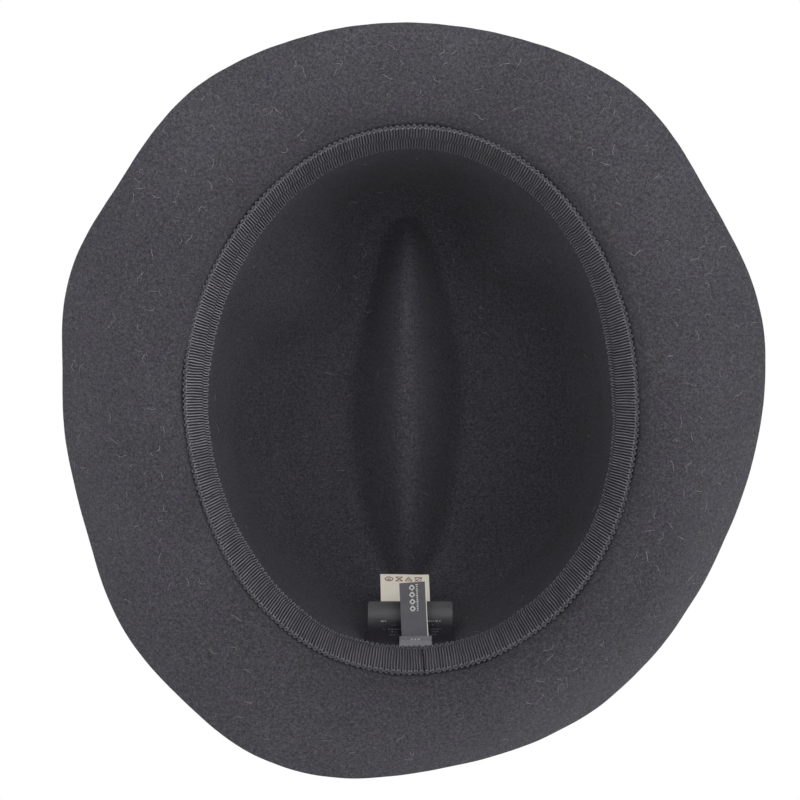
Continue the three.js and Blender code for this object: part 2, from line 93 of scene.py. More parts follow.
FREE_EDGE_RADIUS = [               # of the sweatband's upper, free edge
    76.8, 78.4, 81.3, 83.3, 84.9, 88.1, 90.6, 93.2, 95.2, 95.9, 95.5, 93.3,
    90.9, 86.8, 83.7, 81.7, 79.9, 78.6, 78.5, 78.7, 79.6, 81.8, 83.9, 86.7,
    90.6, 94.4, 96.1, 95.3, 96.5, 95.6, 91.3, 87.0, 84.4, 82.0, 79.2, 77.2]

BREAK = 6.0                        # radius of the turn from brim to crown wall
SEAM = 40 * RAD                    # angle round that turn at which HEAD_RADIUS is taken
# Crown profile: share of the foot radius, height.
CROWN = [
    (1.0, 6), (0.968, 30), (0.94, 50), (0.9, 70), (0.855, 83), (0.76, 94.5),
    (0.61, 102.5), (0.42, 107.5), (0.2, 110.5), (0, 111.5)]
SPANS = len(CROWN) - 1
CROWN_HEIGHT = CROWN[-1][1]
SHOULDER_STATION = 4               # from here on the profile closes towards the spine
SHOULDER = 2 + SHOULDER_STATION / SPANS
TILT = 0.055                       # how much the crown's top rises towards the front
DENT_DEPTH, DENT_HALF, DENT_END, DENT_X = 31.0, 27.0, 9, -1.5
DENT_FRONT, DENT_BACK = 77.0, 80.0
SPINE_FRONT, SPINE_BACK = -60.0, 62.0
# Finger pinches: centre, push, reach.
PINCHES = [((-48, -46, 86), (14.5, 9.0, -6.0), 27.0), ((43, -59, 87), (-9.0, 6.5, -3.5), 23.0)]

BAND_LOW, BAND_TOP = 6.0, 29.5     # the sweatband's wall part
BAND_TURN = 0.14                   # share of the sweatband's width that lies on the turn
BAND_RIB = 1.07                    # pitch of the sweatband's ribs
BAND_JOIN = math.atan2(97.0, 4.4)  # its ends meet a little off the middle of the back
HATBAND_LOW, HATBAND_HIGH = 8.5, 44.5
BOW_ANGLE = 1.0 * RAD
BOW_RADIUS = 90.0                  # turns a length along the crown wall into an angle
BOW_RIB = 0.95                     # pitch of the bow's ribs
LABEL_Z = 31.6                     # height of the labels' bend lines


# ------------------------------------------------------------------ curves
def periodic(samples, harmonics):
    """Smooth closed curve through even samples, as a truncated Fourier series."""
    samples = np.array(samples, float)
    count = len(samples)
    turn = 2 * np.pi * np.arange(count) / count
    orders = range(harmonics + 1)
    cosines = [np.sum(samples * np.cos(k * turn)) * (2 if k else 1) / count for k in orders]
    sines = [np.sum(samples * np.sin(k * turn)) * 2 / count for k in orders]

    def curve(phi):
        phi = np.asarray(phi, float)
        out = np.full(phi.shape, cosines[0])
        for k in range(1, harmonics + 1):
            out = out + cosines[k] * np.cos(k * phi) + sines[k] * np.sin(k * phi)
        return out
    return curve


def spline(values):
    """Natural cubic spline through values at 0, 1, 2 and so on."""
    values = np.array(values, float)
    count = len(values)
    second, upper, right = np.zeros(count), np.zeros(count), np.zeros(count)
    for i in range(1, count - 1):
        pivot = 4 - upper[i - 1]
        upper[i] = 1 / pivot
        right[i] = (6 * (values[i + 1] - 2 * values[i] + values[i - 1]) - right[i - 1]) / pivot
    for i in range(count - 2, 0, -1):
        second[i] = right[i] - upper[i] * second[i + 1]

    def curve(x):
        x = np.asarray(x, float)
        i = np.clip(np.floor(x).astype(int), 0, count - 2)
        after = x - i
        before = 1 - after
        bend = (before ** 3 - before) * second[i] + (after ** 3 - after) * second[i + 1]
        return before * values[i] + after * values[i + 1] + bend / 6
    return curve


def smooth(x):
    """Step from 0 to 1 with flat ends."""
    x = np.clip(x, 0, 1)
    return x * x * x * (x * (6 * x - 15) + 10)


def rounded(edge):
    """Quarter-circle rise for an edge share from 0 to 1."""
    return np.sqrt(1 - (1 - edge) ** 2)


def rib_wave(turns, power=0.8):
    """Rib height from 0 to 1, one rib to a turn."""
    return (0.5 + 0.5 * np.cos(2 * np.pi * turns)) ** power


def unit(vector):
    return vector / np.linalg.norm(vector, axis=-1, keepdims=True)


def run_starts(steps):
    """Length run before each step."""
    return np.concatenate([[0], np.cumsum(steps)[:-1]])


def plane_steps(first, second, closed):
    """Step lengths of a plane path; an open path ends with a zero step."""
    end = slice(0, 1) if closed else slice(-1, None)
    return np.hypot(np.diff(first, append=first[end]), np.diff(second, append=second[end]))


def plane_normals(first, second, closed):
    """Both parts of the unit normal, a quarter turn on from the path's direction."""
    if closed:
        along = [np.roll(part, -1) - np.roll(part, 1) for part in (first, second)]
    else:
        along = [np.gradient(first), np.gradient(second)]
    length = np.hypot(*along)
    return -along[1] / length, along[0] / length


def wobble(points, size, seed, waves=7):
    """Smooth seeded noise, about -1 to 1, with features of the given size."""
    rng = np.random.default_rng(seed)
    out = np.zeros(points.shape[:-1])
    for _ in range(waves):
        heading = rng.normal(size=3)
        heading /= np.linalg.norm(heading)
        rate = 2 * np.pi / size * rng.uniform(0.6, 1.5)
        out += np.sin((points @ heading) * rate + rng.uniform(0, 2 * np.pi))
    return out / math.sqrt(waves)


# ------------------------------------------------------------------ the felt's inner surface
rim_radius, rim_height = periodic(RIM_RADIUS, 13), periodic(RIM_HEIGHT, 7)
head_radius, free_edge_radius = periodic(HEAD_RADIUS, 5), periodic(FREE_EDGE_RADIUS, 6)
crown_share = spline([share for share, height in CROWN])
crown_height = spline([height for share, height in CROWN])
# fine samples of the profile, to look stations up by height or by share
STATIONS = np.linspace(0, SPANS, 9001)
STATION_HEIGHT, STATION_SHARE = crown_height(STATIONS), crown_share(STATIONS)
BY_SHARE = np.argsort(STATION_SHARE)


def wall_at(z):
    """Surface parameter of a height on the crown wall."""
    return 2 + np.interp(z, STATION_HEIGHT, STATIONS) / SPANS


def foot_radius(phi):
    return head_radius(phi) - BREAK * (1 - math.cos(SEAM))


def polar(radius, phi, z):
    return np.stack([radius * np.cos(phi), radius * np.sin(phi), z], -1)


def brim_points(phi, v):
    """From the cut edge at v 0 to the turn at v 1."""
    out = np.clip(1 - v, 0, 1)
    height = rim_height(phi)
    low = smooth((4 - height) / 16)
    rise = low * (3 * out * out - 2 * out ** 3) + (1 - low) * out ** 2.1
    start = foot_radius(phi) + BREAK
    return polar(start + (rim_radius(phi) - start) * out, phi, height * rise)


def turn_points(phi, v):
    """Quarter circle from the brim at v 1 to the wall at v 2."""
    angle = np.clip(2 - v, 0, 1) * np.pi / 2
    radius = foot_radius(phi) + BREAK * (1 - np.cos(angle))
    return polar(radius, phi, BREAK * (1 - np.sin(angle)))


def crown_points(phi, v):
    """Wall from v 2 to the shoulder, then the top in to the spine at v 3."""
    foot, cosine, sine = foot_radius(phi), np.cos(phi), np.sin(phi)
    station = np.clip((v - 2) * SPANS, 0, SPANS)
    wall = foot * crown_share(station)
    inward = np.clip((v - SHOULDER) / (3 - SHOULDER), 0, 1)
    shoulder = foot * crown_share(float(SHOULDER_STATION))
    spine = np.where(sine < 0, SPINE_FRONT, SPINE_BACK) * np.abs(sine)
    top_x = shoulder * cosine * (1 - inward)
    top_y = shoulder * sine * (1 - inward) + spine * inward
    share = np.hypot(top_x, top_y) / foot_radius(np.arctan2(top_y, top_x))
    top_z = crown_height(np.interp(share, STATION_SHARE[BY_SHARE], STATIONS[BY_SHARE]))
    top = v >= SHOULDER
    x = np.where(top, top_x, wall * cosine)
    y = np.where(top, top_y, wall * sine)
    z = np.where(top, top_z, crown_height(station))
    z = z + TILT * -y * (z / CROWN_HEIGHT) ** 2 * smooth((z - 30) / 60)
    block = np.stack([x, y, z], -1)
    pinch = 0
    for centre, push, reach in PINCHES:
        away = np.sum((block - centre) ** 2, -1, keepdims=True)
        pinch = pinch + np.exp(-away / reach ** 2) * np.array(push)
    # the lengthwise dent folded into the top
    end = np.minimum(1, np.abs(y) / np.where(y < 0, DENT_FRONT, DENT_BACK))
    half = DENT_END + (DENT_HALF - DENT_END) * np.maximum(0, 1 - end * end)
    across = 0.5 + 0.5 * np.cos(np.pi * np.minimum(1, np.abs(x - DENT_X) / half))
    along = 1 - end ** np.where(y < 0, 4.0, 2.6)
    z = z - DENT_DEPTH * across * along * smooth((z - 70) / 25)
    return np.stack([x, y, z], -1) + pinch


def inner(phi, v):
    """Point of the felt's inner surface at polar angle phi and parameter v, 0 to 3."""
    phi, v = np.broadcast_arrays(np.asarray(phi, float), np.asarray(v, float))
    row = v[..., None]
    upper = np.where(row < 2, turn_points(phi, v), crown_points(phi, v))
    return np.where(row < 1, brim_points(phi, v), upper)


def surface(phi, v):
    """Point and outward normal of the felt's inner surface."""
    phi, v = np.broadcast_arrays(np.asarray(phi, float), np.asarray(v, float))
    step = 2e-3
    near = np.minimum(v, 2.99)
    round_step = inner(phi + step, near) - inner(phi - step, near)
    up_step = inner(phi, near + step) - inner(phi, np.maximum(0, near - step))
    return inner(phi, v), unit(np.cross(round_step, up_step))


def felt_sway(points):
    """The blocked felt is never perfectly even."""
    return 0.22 * wobble(points, 46, 11) + 0.07 * wobble(points, 15, 12)


def to_row(points):
    """Design millimetres to the row frame's metres."""
    x, y, z = np.moveaxis(np.asarray(points, float), -1, 0)
    cosine, sine = math.cos(PITCH), math.sin(PITCH)
    return (np.stack([x, y * cosine - z * sine, y * sine + z * cosine], -1) + SHIFT) / 1000


# ------------------------------------------------------------------ meshes
def make(name, verts, faces, attrs=None, sharp=None):
    """Smooth-shaded object; verts in the row frame, sharp in degrees."""
    mesh = bpy.data.meshes.new(name)
    mesh.from_pydata(verts.reshape(-1, 3).tolist(), [], faces)
    for key, values in (attrs or {}).items():
        layer = mesh.attributes.new(key, "FLOAT", "POINT")
        layer.data.foreach_set("value", np.asarray(values, np.float32).ravel())
    mesh.polygons.foreach_set("use_smooth", np.ones(len(mesh.polygons), bool))
    mesh.update()
    if sharp:
        mesh.set_sharp_from_angle(angle=sharp * RAD)
    piece = bpy.data.objects.new(name, mesh)
    bpy.context.scene.collection.objects.link(piece)
    turn_outwards(mesh)
    return piece


def turn_outwards(mesh):
    """Turns a closed mesh's faces outwards, by the sign of its volume."""
    places = np.empty(len(mesh.vertices) * 3)
    mesh.vertices.foreach_get("co", places)
    mesh.calc_loop_triangles()
    corners = np.empty(len(mesh.loop_triangles) * 3, np.int32)
    mesh.loop_triangles.foreach_get("vertices", corners)
    first, second, third = np.moveaxis(places.reshape(-1, 3)[corners.reshape(-1, 3)], 1, 0)
    if np.sum(np.einsum("ij,ij->i", first, np.cross(second, third))) < 0:
        mesh.flip_normals()


def ring_faces(count, ring, closed, base=0):
    """Quads between count rings of ring vertices each."""
    i, j = np.meshgrid(np.arange(count if closed else count - 1), np.arange(ring), indexing="ij")
    i_next, j_next = (i + 1) % count, (j + 1) % ring
    corners = [i * ring + j, i_next * ring + j, i_next * ring + j_next, i * ring + j_next]
    return (np.stack(corners, -1).reshape(-1, 4) + base).tolist()


def ladder(ring, first):
    """Quads that cap a section running up one side and back down the other."""
    return [[first + j, first + j + 1, first + ring - 2 - j, first + ring - 1 - j]
            for j in range(ring // 2 - 1)]


def sheet(name, near, far, closed, attrs, sharp):
    """Closed solid from two facing grids (along, across, 3) in design millimetres.

    attrs gives each attribute's values on the near and the far grid.
    """
    count, half = near.shape[:2]

    def both(first, second):
        return np.concatenate([first, second[:, ::-1]], 1)

    faces = ring_faces(count, 2 * half, closed)
    if not closed:
        last = ladder(2 * half, (count - 1) * 2 * half)
        faces += ladder(2 * half, 0) + [face[::-1] for face in last]
    full = {key: both(*(np.broadcast_to(side, (count, half)) for side in sides))
            for key, sides in attrs.items()}
    return make(name, to_row(both(near, far)), faces, full, sharp)


def tube(path, normal, radius, sides, twist, ply, closed=False, start=0):
    """Vertices and faces of a twisted thread; ply is the depth of its twist."""
    count = len(path)
    if closed:
        tangent = unit(np.roll(path, -1, 0) - np.roll(path, 1, 0))
    else:
        tangent = unit(np.gradient(path, axis=0))
    side = unit(np.cross(normal, tangent))
    lift = np.cross(tangent, side)
    steps = np.linalg.norm(np.diff(path, axis=0, append=path[:1] if closed else path[-1:]), axis=1)
    run = run_starts(steps)
    if closed:                     # a whole number of twists, so that the ends match
        total = steps.sum()
        twist = round(twist * total / (2 * np.pi)) * 2 * np.pi / total
    angle = np.arange(sides) * 2 * np.pi / sides
    radius = np.asarray(radius, float) * np.ones(count)
    radii = radius[:, None] * (1 + ply * np.cos(2 * angle[None] - twist * run[:, None]))
    verts = (path[:, None] + side[:, None] * (radii * np.cos(angle))[..., None]
             + lift[:, None] * (radii * np.sin(angle))[..., None])
    faces = ring_faces(count, sides, closed, start)
    if not closed:
        last = start + (count - 1) * sides
        faces += [list(range(start, start + sides)), list(range(last, last + sides))[::-1]]
    return verts.reshape(-1, 3), faces


def tubes(name, runs, sides, twist, ply):
    """One object of several threads; runs is a list of (path, normals, radius)."""
    verts, faces, start = [], [], 0
    for path, normal, radius in runs:
        thread, thread_faces = tube(path, normal, radius, sides, twist, ply, start=start)
        verts.append(thread)
        faces += thread_faces
        start += len(thread)
    return make(name, to_row(np.concatenate(verts)), faces)


def stitches(name, places, half, rise, radius):
    """Short arches of thread; places is a list of (centre, normal, direction)."""
    runs = []
    along = np.linspace(-1, 1, 9)
    height = rise * (1 - along ** 2) - 0.28 * np.abs(along) ** 6
    for centre, normal, direction in places:
        path = centre + direction * (along * half)[:, None] + normal * height[:, None]
        runs.append((path, np.repeat(normal[None], 9, 0), radius))
    return tubes(name, runs, sides=7, twist=5.0, ply=0.12)


def ring_direction(phi):
    return np.array([-math.sin(phi), math.cos(phi), 0.0])


def dress(piece, material, node=None):
    """Gives a piece its material, and hides the CAD node it stands for."""
    piece.data.materials.append(material)
    if node:
        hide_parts(node)


def attach(piece, material, node=None):
    """Dresses a piece that is fixed to the hat."""
    dress(piece, material, node)
    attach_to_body(piece, "root")


# ------------------------------------------------------------------ materials
class Nodes:
    """Node tree of a material or a world, with short ways to add nodes."""

    def __init__(self, owner, output="ShaderNodeOutputMaterial"):
        owner.use_nodes = True
        self.owner, self.tree = owner, owner.node_tree
        self.tree.nodes.clear()
        self.output = self.add(output)
        self.coord = None

    def add(self, kind, **props):
        node = self.tree.nodes.new(kind)
        for key, value in props.items():
            setattr(node, key, value)
        return node

    def put(self, value, socket):
        """Links a socket, or sets a number or an RGB colour."""
        if hasattr(value, "is_output"):
            self.tree.links.new(value, socket)
        elif isinstance(value, tuple):
            socket.default_value = (*value, 1)
        else:
            socket.default_value = value

    def coords(self, kind="Object"):
        if self.coord is None:
            self.coord = self.add("ShaderNodeTexCoord")
        return self.coord.outputs[kind]

    def math(self, operation, first, second=0.0):
        node = self.add("ShaderNodeMath", operation=operation)
        self.put(first, node.inputs[0])
        self.put(second, node.inputs[1])
        return node.outputs[0]

    def weighted(self, *pairs):
        """Sum of (value, weight) pairs."""
        total = None
        for value, weight in pairs:
            term = self.math("MULTIPLY", value, weight)
            total = term if total is None else self.math("ADD", total, term)
        return total

    def noise(self, scale, detail, rough, distort=0.0, stretch=None, turn=None):
        vector = self.coords()
        if stretch:
            mapping = self.add("ShaderNodeMapping")
            mapping.inputs["Scale"].default_value = stretch
            mapping.inputs["Rotation"].default_value = turn
            self.put(vector, mapping.inputs["Vector"])
            vector = mapping.outputs[0]
        node = self.add("ShaderNodeTexNoise")
        self.put(vector, node.inputs["Vector"])
        node.inputs["Scale"].default_value = scale
        node.inputs["Detail"].default_value = detail
        node.inputs["Roughness"].default_value = rough
        node.inputs["Distortion"].default_value = distort
        return node.outputs["Fac"]

    def ramp(self, factor, stops):
        node = self.add("ShaderNodeValToRGB")
        elements = node.color_ramp.elements
        while len(elements) < len(stops):
            elements.new(0.5)
        for element, (position, color) in zip(elements, stops):
            element.position = position
            element.color = (*color, 1)
        self.put(factor, node.inputs["Fac"])
        return node.outputs["Color"]

    def remap(self, value, source, target, **props):
        """Maps the source range onto the target range, clamped."""
        node = self.add("ShaderNodeMapRange", clamp=True, **props)
        self.put(value, node.inputs[0])
        for i, limit in enumerate((*source, *target)):
            node.inputs[i + 1].default_value = limit
        return node.outputs[0]

    def mix(self, factor, first, second, blend="MIX"):
        node = self.add("ShaderNodeMix", data_type="RGBA", blend_type=blend)
        for value, i in ((factor, 0), (first, 6), (second, 7)):
            self.put(value, node.inputs[i])
        return node.outputs[2]

    def attr(self, name):
        return self.add("ShaderNodeAttribute", attribute_name=name).outputs["Fac"]

    def bump(self, height, distance, strength):
        node = self.add("ShaderNodeBump")
        node.inputs["Strength"].default_value = strength
        node.inputs["Distance"].default_value = distance
        self.put(height, node.inputs["Height"])
        return node.outputs[0]

    def surface(self, color, rough, normal, spec, sheen, sheen_rough,
                sheen_tint=(1, 1, 1), anisotropic=0.0):
        shader = self.add("ShaderNodeBsdfPrincipled")
        for key, value in (
                ("Base Color", color), ("Roughness", rough), ("Specular IOR Level", spec),
                ("Sheen Weight", sheen), ("Sheen Roughness", sheen_rough),
                ("Sheen Tint", sheen_tint), ("Anisotropic", anisotropic), ("Normal", normal)):
            self.put(value, shader.inputs[key])
        self.put(shader.outputs[0], self.output.inputs[0])
        return self.owner


def material_nodes(name):
    return Nodes(bpy.data.materials.new(name))


def srgb(*color):
    """Linear colour from 0-255 values."""
    return tuple(((part / 255 + 0.055) / 1.055) ** 2.4 if part / 255 > 0.04045
                 else part / 255 / 12.92 for part in color)


FELT_DARK, FELT_MID = (0.022, 0.021, 0.025), (0.070, 0.0675, 0.0785)
FELT_LIGHT, FELT_FIBRE = (0.150, 0.145, 0.167), (0.26, 0.255, 0.275)


def felt_material():
    nodes = material_nodes("wool_felt")
    patch = nodes.noise(scale=30, detail=2, rough=0.5)
    cloud = nodes.noise(scale=980, detail=3, rough=0.6, distort=0.4)
    grain = nodes.noise(scale=2000, detail=3, rough=0.6, distort=0.6)
    # fibres lying in three directions: scale, distortion, stretch, turn
    first, second, third = [
        nodes.noise(scale=scale, detail=2, rough=0.5, distort=distort, stretch=stretch, turn=turn)
        for scale, distort, stretch, turn in (
            (1300, 1.2, (1, 4, 4), (0.2, 0.3, 0.5)),
            (1300, 1.2, (4, 1, 4), (0.4, 0.1, 1.1)),
            (1200, 1.4, (4, 4, 1), (0.9, 0.6, 0.2)))]
    fibres = nodes.math("MAXIMUM", first, nodes.math("MAXIMUM", second, third))
    tone = nodes.weighted((patch, 0.05), (cloud, 0.30), (grain, 0.38), (fibres, 0.27))
    color = nodes.ramp(tone, [(0.395, FELT_DARK), (0.525, FELT_MID), (0.655, FELT_LIGHT)])
    tint = nodes.ramp(
        nodes.noise(scale=90, detail=2, rough=0.5),
        [(0.35, (0.96, 1.0, 0.985)), (0.5, (1, 1, 1)), (0.65, (1.0, 0.98, 1.03))])
    color = nodes.mix(1.0, color, tint, "MULTIPLY")
    # sparse pale hairs in two directions
    hairs = [
        nodes.remap(nodes.noise(scale=700, detail=2, rough=0.4, distort=2.0,
                                stretch=stretch, turn=turn), (0.70, 0.75), (0, 1))
        for stretch, turn in (((1, 8, 8), (0.5, 0.9, 0.1)), ((8, 1, 8), (0.1, 0.4, 0.8)))]
    pale = nodes.math("MULTIPLY", nodes.math("MAXIMUM", *hairs), 0.6)
    color = nodes.mix(pale, color, FELT_FIBRE)
    # painted shade and painted light from the felt's vertex attribute
    color = nodes.mix(1.0, color, nodes.attr("painted_light_and_shade"), "MULTIPLY")
    height = nodes.math("ADD", nodes.math("MULTIPLY", fibres, 0.6),
                        nodes.weighted((grain, 0.4), (cloud, 0.2)))
    return nodes.surface(
        color, rough=nodes.remap(grain, (0.3, 0.7), (0.86, 1.0)),
        normal=nodes.bump(height, distance=0.0005, strength=0.8),
        spec=0.16, sheen=0.10, sheen_rough=0.45, sheen_tint=(0.85, 0.87, 0.95))


def ribbon_material(name, dark, light, painted_rib_highlight, spec, sheen, rough):
    """Grosgrain: rib height from the mesh sets the colour, painted shade in the grooves and a
    painted highlight on the rib tops; fine yarn over it.
    """
    nodes = material_nodes(name)
    yarn = nodes.noise(scale=2600, detail=3, rough=0.6, distort=0.4)
    soft = nodes.noise(scale=90, detail=3, rough=0.5)
    lift = nodes.math("MULTIPLY", nodes.attr("rib"), nodes.remap(yarn, (0.3, 0.7), (0.72, 1.12)))
    middle = tuple(0.4 * (low + high) for low, high in zip(dark, light))
    color = nodes.ramp(
        lift, [(0.0, dark), (0.14, dark), (0.5, middle), (0.78, light), (1.0, painted_rib_highlight)])
    patches = nodes.ramp(soft, [(0.3, (0.86, 0.86, 0.87)), (0.7, (1.1, 1.09, 1.1))])
    color = nodes.mix(1.0, color, patches, "MULTIPLY")
    return nodes.surface(
        color, rough=nodes.remap(yarn, (0.3, 0.7), rough),
        normal=nodes.bump(yarn, distance=0.00012, strength=0.6),
        spec=spec, sheen=sheen, sheen_rough=0.4)


def thread_material(name, dark, light):
    nodes = material_nodes(name)
    strand = nodes.noise(scale=3800, detail=2, rough=0.5, distort=0.5)
    return nodes.surface(
        nodes.ramp(strand, [(0.3, dark), (0.7, light)]), rough=0.62,
        normal=nodes.bump(strand, distance=0.00008, strength=0.7),
        spec=0.35, sheen=0.2, sheen_rough=0.4)


def weave_material(name, low, high, pitch, rough, spec, sheen,
                   anisotropic=0.0, depth=0.00005, edge=None):
    """Woven cloth; pitch is that of the weave across and along the strip, in mm."""
    nodes = material_nodes(name)
    waves = [nodes.math("SINE", nodes.math("MULTIPLY", nodes.attr(key), 2 * math.pi / spacing))
             for key, spacing in zip(("sheet_u", "sheet_v"), pitch)]
    crossed = nodes.math("MULTIPLY", *waves)
    weave = nodes.math("ADD", nodes.math("MULTIPLY", crossed, 0.5), 0.5)
    soft = nodes.noise(scale=300, detail=4, rough=0.6)
    color = nodes.ramp(nodes.weighted((weave, 0.6), (soft, 0.4)), [(0.25, low), (0.75, high)])
    if edge is not None:
        color = nodes.mix(nodes.remap(nodes.attr("edge"), (0.0, 1.0), (0.0, 1.0)), color, edge)
    return nodes.surface(
        color, rough=nodes.remap(soft, (0.3, 0.7), (rough - 0.06, rough + 0.08)),
        normal=nodes.bump(weave, distance=depth, strength=0.7),
        spec=spec, sheen=sheen, sheen_rough=0.35, anisotropic=anisotropic)


# ------------------------------------------------------------------ felt body
SEGMENTS = 360
EDGE_ROWS = [-62, -35, -12, 12, 35, 62]      # degrees round the cut edge


def press(points):
    """Flattens what would sink below the ground, where the hat rests."""
    upward = np.array([0, math.sin(PITCH), math.cos(PITCH)])
    height = points @ upward + SHIFT[2]
    return points - np.minimum(height, 0)[..., None] * upward


def cut_edge(near, far, phi):
    """Rows rounded over from the inner to the outer face, a little uneven."""
    out = unit(near[0] - near[2])
    middle, half = (near[0] + far[0]) / 2, (far[0] - near[0]) / 2
    bulge = 0.42 + 0.05 * np.sin(phi * 31) + 0.04 * np.sin(phi * 83 + 1)
    return press(np.array([
        middle + out * (bulge * math.cos(turn))[..., None] + half * math.sin(turn)
        for turn in np.radians(EDGE_ROWS)]))


def felt_painted_light_and_shade(grid, rows, phi):
    """Brightness of the felt's colour at each vertex: painted shade and painted light."""
    v = np.concatenate([rows[::-1], np.zeros(len(EDGE_ROWS)), rows])[:, None] + 0 * phi[None]
    inside = (np.arange(len(grid)) < len(rows))[:, None]
    # painted shade: darker along the sweatband's seam, in the turn by the ribbon
    amount = 0.25 + 0.10 * np.cos(phi - 5.6) - 0.05 * np.cos(2 * phi)
    painted_light_and_shade = 1 - amount * np.exp(-((np.abs(v - 1.35) / 0.62) ** 2)) * inside
    # painted light and painted shade inside the crown: lighter on the dent, darker on the walls
    # round it
    x, y = grid[..., 0], grid[..., 1]
    dent = (smooth((v - SHOULDER - 0.05) / 0.25) * np.exp(-((x - DENT_X) / 17) ** 2)
            * smooth((y + 84) / 34) * smooth((96 - y) / 30))
    walls = smooth((v - 2.04) / 0.22) * (1 - dent)
    wall_painted_shade = 0.04 + 0.13 * np.sin(phi) ** 2 + 0.01 * np.sin(phi)
    return painted_light_and_shade * (1 + inside * (0.12 * dent - walls * wall_painted_shade))


def build_felt():
    phi = np.arange(SEGMENTS) * 2 * np.pi / SEGMENTS
    rows = np.concatenate([
        [0.004, 0.015], (1 - np.linspace(1, 0, 40))[1:],    # brim, closest at the cut edge
        np.linspace(1, 2, 13)[1:],                          # turn
        wall_at(np.linspace(8, 80, 24)),                    # wall
        SHOULDER + (3 - SHOULDER) * np.linspace(0.012, 1, 42)])
    point, normal = surface(phi[None], rows[:, None])
    # both sides of the top meet along the spine and share its vertices
    mirror = (SEGMENTS // 2 - np.arange(SEGMENTS)) % SEGMENTS
    normal[-1] = unit(normal[-1] + normal[-1][mirror])
    fade = np.clip((3 - rows) / 0.02, 0, 1)[:, None]
    sway = felt_sway(point) * fade
    thick = FELT + 0.10 * wobble(point, 20, 13) * fade
    near = press(point + normal * sway[..., None])
    far = press(point + normal * (sway + thick)[..., None])
    # from the spine inside, round the rim, to the spine outside
    grid = np.concatenate([near[::-1], cut_edge(near, far, phi), far], 0)
    keep = np.minimum(np.arange(SEGMENTS), mirror)
    index = np.arange(len(grid) * SEGMENTS).reshape(len(grid), SEGMENTS)
    index[0], index[-1] = index[0][keep], index[-1][keep]
    low, high = index[:-1], index[1:]
    faces = np.stack([low, np.roll(low, -1, 1), np.roll(high, -1, 1), high], -1).reshape(-1, 4)
    used, inverse = np.unique(faces, return_inverse=True)
    verts = to_row(grid.reshape(-1, 3)[used])
    verts[:, 2] = np.maximum(verts[:, 2], 0.0)
    # painted shade and painted light for the felt's colour
    painted_light_and_shade = felt_painted_light_and_shade(grid, rows, phi).reshape(-1)[used]
    return make("felt_hat_body", verts, inverse.reshape(-1, 4).tolist(), {"painted_light_and_shade": painted_light_and_shade})


def build_fibres():
    """Loose ends of wool lying on the felt: short, thin and curled, inside and out."""
    rng = np.random.default_rng(41)
    step = 1e-3
    share = np.linspace(0, 1, 8)
    runs = []
    # surface range, count, outside
    for v_low, v_high, count, outside in (
            (0.03, 0.97, 210, False), (2.1, 2.96, 60, False),
            (0.03, 0.9, 90, True), (2.42, 2.96, 110, True)):
        for _ in range(count):
            phi, v = rng.uniform(0, 2 * np.pi), rng.uniform(v_low, v_high)
            # millimetres to a unit of phi and of v
            per_phi = np.linalg.norm(inner(phi + step, v) - inner(phi - step, v)) / (2 * step)
            per_v = np.linalg.norm(inner(phi, v + step) - inner(phi, v - step)) / (2 * step)
            length = rng.uniform(1.6, 5.2)
            bend = rng.normal(0, 1.3)
            aim = rng.uniform(0, 2 * np.pi)
            way = aim + bend * share + 0.5 * np.sin(share * rng.uniform(3, 8))
            hop = length / 7
            across = np.concatenate([[0], np.cumsum(np.cos(way[:-1]) * hop)])
            along = np.concatenate([[0], np.cumsum(np.sin(way[:-1]) * hop)])
            phis, rows = phi + across / per_phi, v + along / per_v
            if rows.min() < v_low - 0.02 or rows.max() > v_high + 0.02:
                continue
            point, normal = surface(phis, rows)
            offset = felt_sway(point)
            radius = rng.uniform(0.028, 0.045)
            lift = radius * 0.5 + rng.uniform(0.05, 0.32) * np.sin(np.pi * share) ** 2
            if outside:
                offset = offset + FELT + 0.10 * wobble(point, 20, 13) + lift
            else:
                offset = offset - lift
            path = point + normal * offset[:, None]
            if to_row(path)[:, 2].min() < 0.0005:           # none under the hat where it rests
                continue
            taper = 0.35 + 0.65 * np.sin(np.pi * (0.06 + 0.88 * share))
            runs.append((path, normal if outside else -normal, radius * taper))
    return tubes("felt_loose_fibres", runs, sides=4, twist=0.0, ply=0.0)


attach(build_felt(), felt_material(), "felt_body")
attach(build_fibres(), thread_material("loose_wool", srgb(150, 147, 153), srgb(212, 208, 212)))


# ------------------------------------------------------------------ sweatband
def back_near(phi):
    """1 at the middle of the back, fading out some 15 degrees away."""
    away = np.arctan2(np.sin(phi - np.pi / 2), np.cos(phi - np.pi / 2))
    return np.exp(-((away / (15 * RAD)) ** 4))


def band_lean(phi, z):
    """How far the sweatband's outer face stands off the felt at height z."""
    rise = np.clip((z - 10) / (BAND_TOP - 10), 0, 1.05)
    x, y, _ = np.moveaxis(inner(phi, wall_at(BAND_TOP)), -1, 0)
    stand = np.clip(np.hypot(x, y) - free_edge_radius(phi) - 0.75, 0.4, 5.0)
    back = back_near(phi)
    return AIR + (stand * (1 - back) + 2.6 * back) * rise ** 1.35


def sewn_in(phi):
    """Degrees round the turn by which the sewn edge sits further in, most at the right."""
    return 4.0 * (0.5 - 0.5 * np.cos(phi))


def on_turn(phi, degrees):
    """Surface point and normal so many degrees round the turn below the wall."""
    return surface(phi, 2 - degrees / 90)


def band_point(phi, share, extra):
    """Point on the sweatband: share 0 at the sewn edge, 1 at the free edge.

    extra is the distance inwards from its outer face.
    """
    phi, share = np.broadcast_arrays(phi, share)
    sewn = 2 - (28.5 - sewn_in(phi)) / 90
    turn = np.clip(share / BAND_TURN, 0, 1)
    z = BAND_LOW + (BAND_TOP - BAND_LOW) * np.clip((share - BAND_TURN) / (1 - BAND_TURN), 0, 1.2)
    point, normal = surface(
        phi, np.where(share < BAND_TURN, sewn + (2 - sewn) * turn, wall_at(z)))
    return point - normal * (band_lean(phi, z) + extra)[..., None]


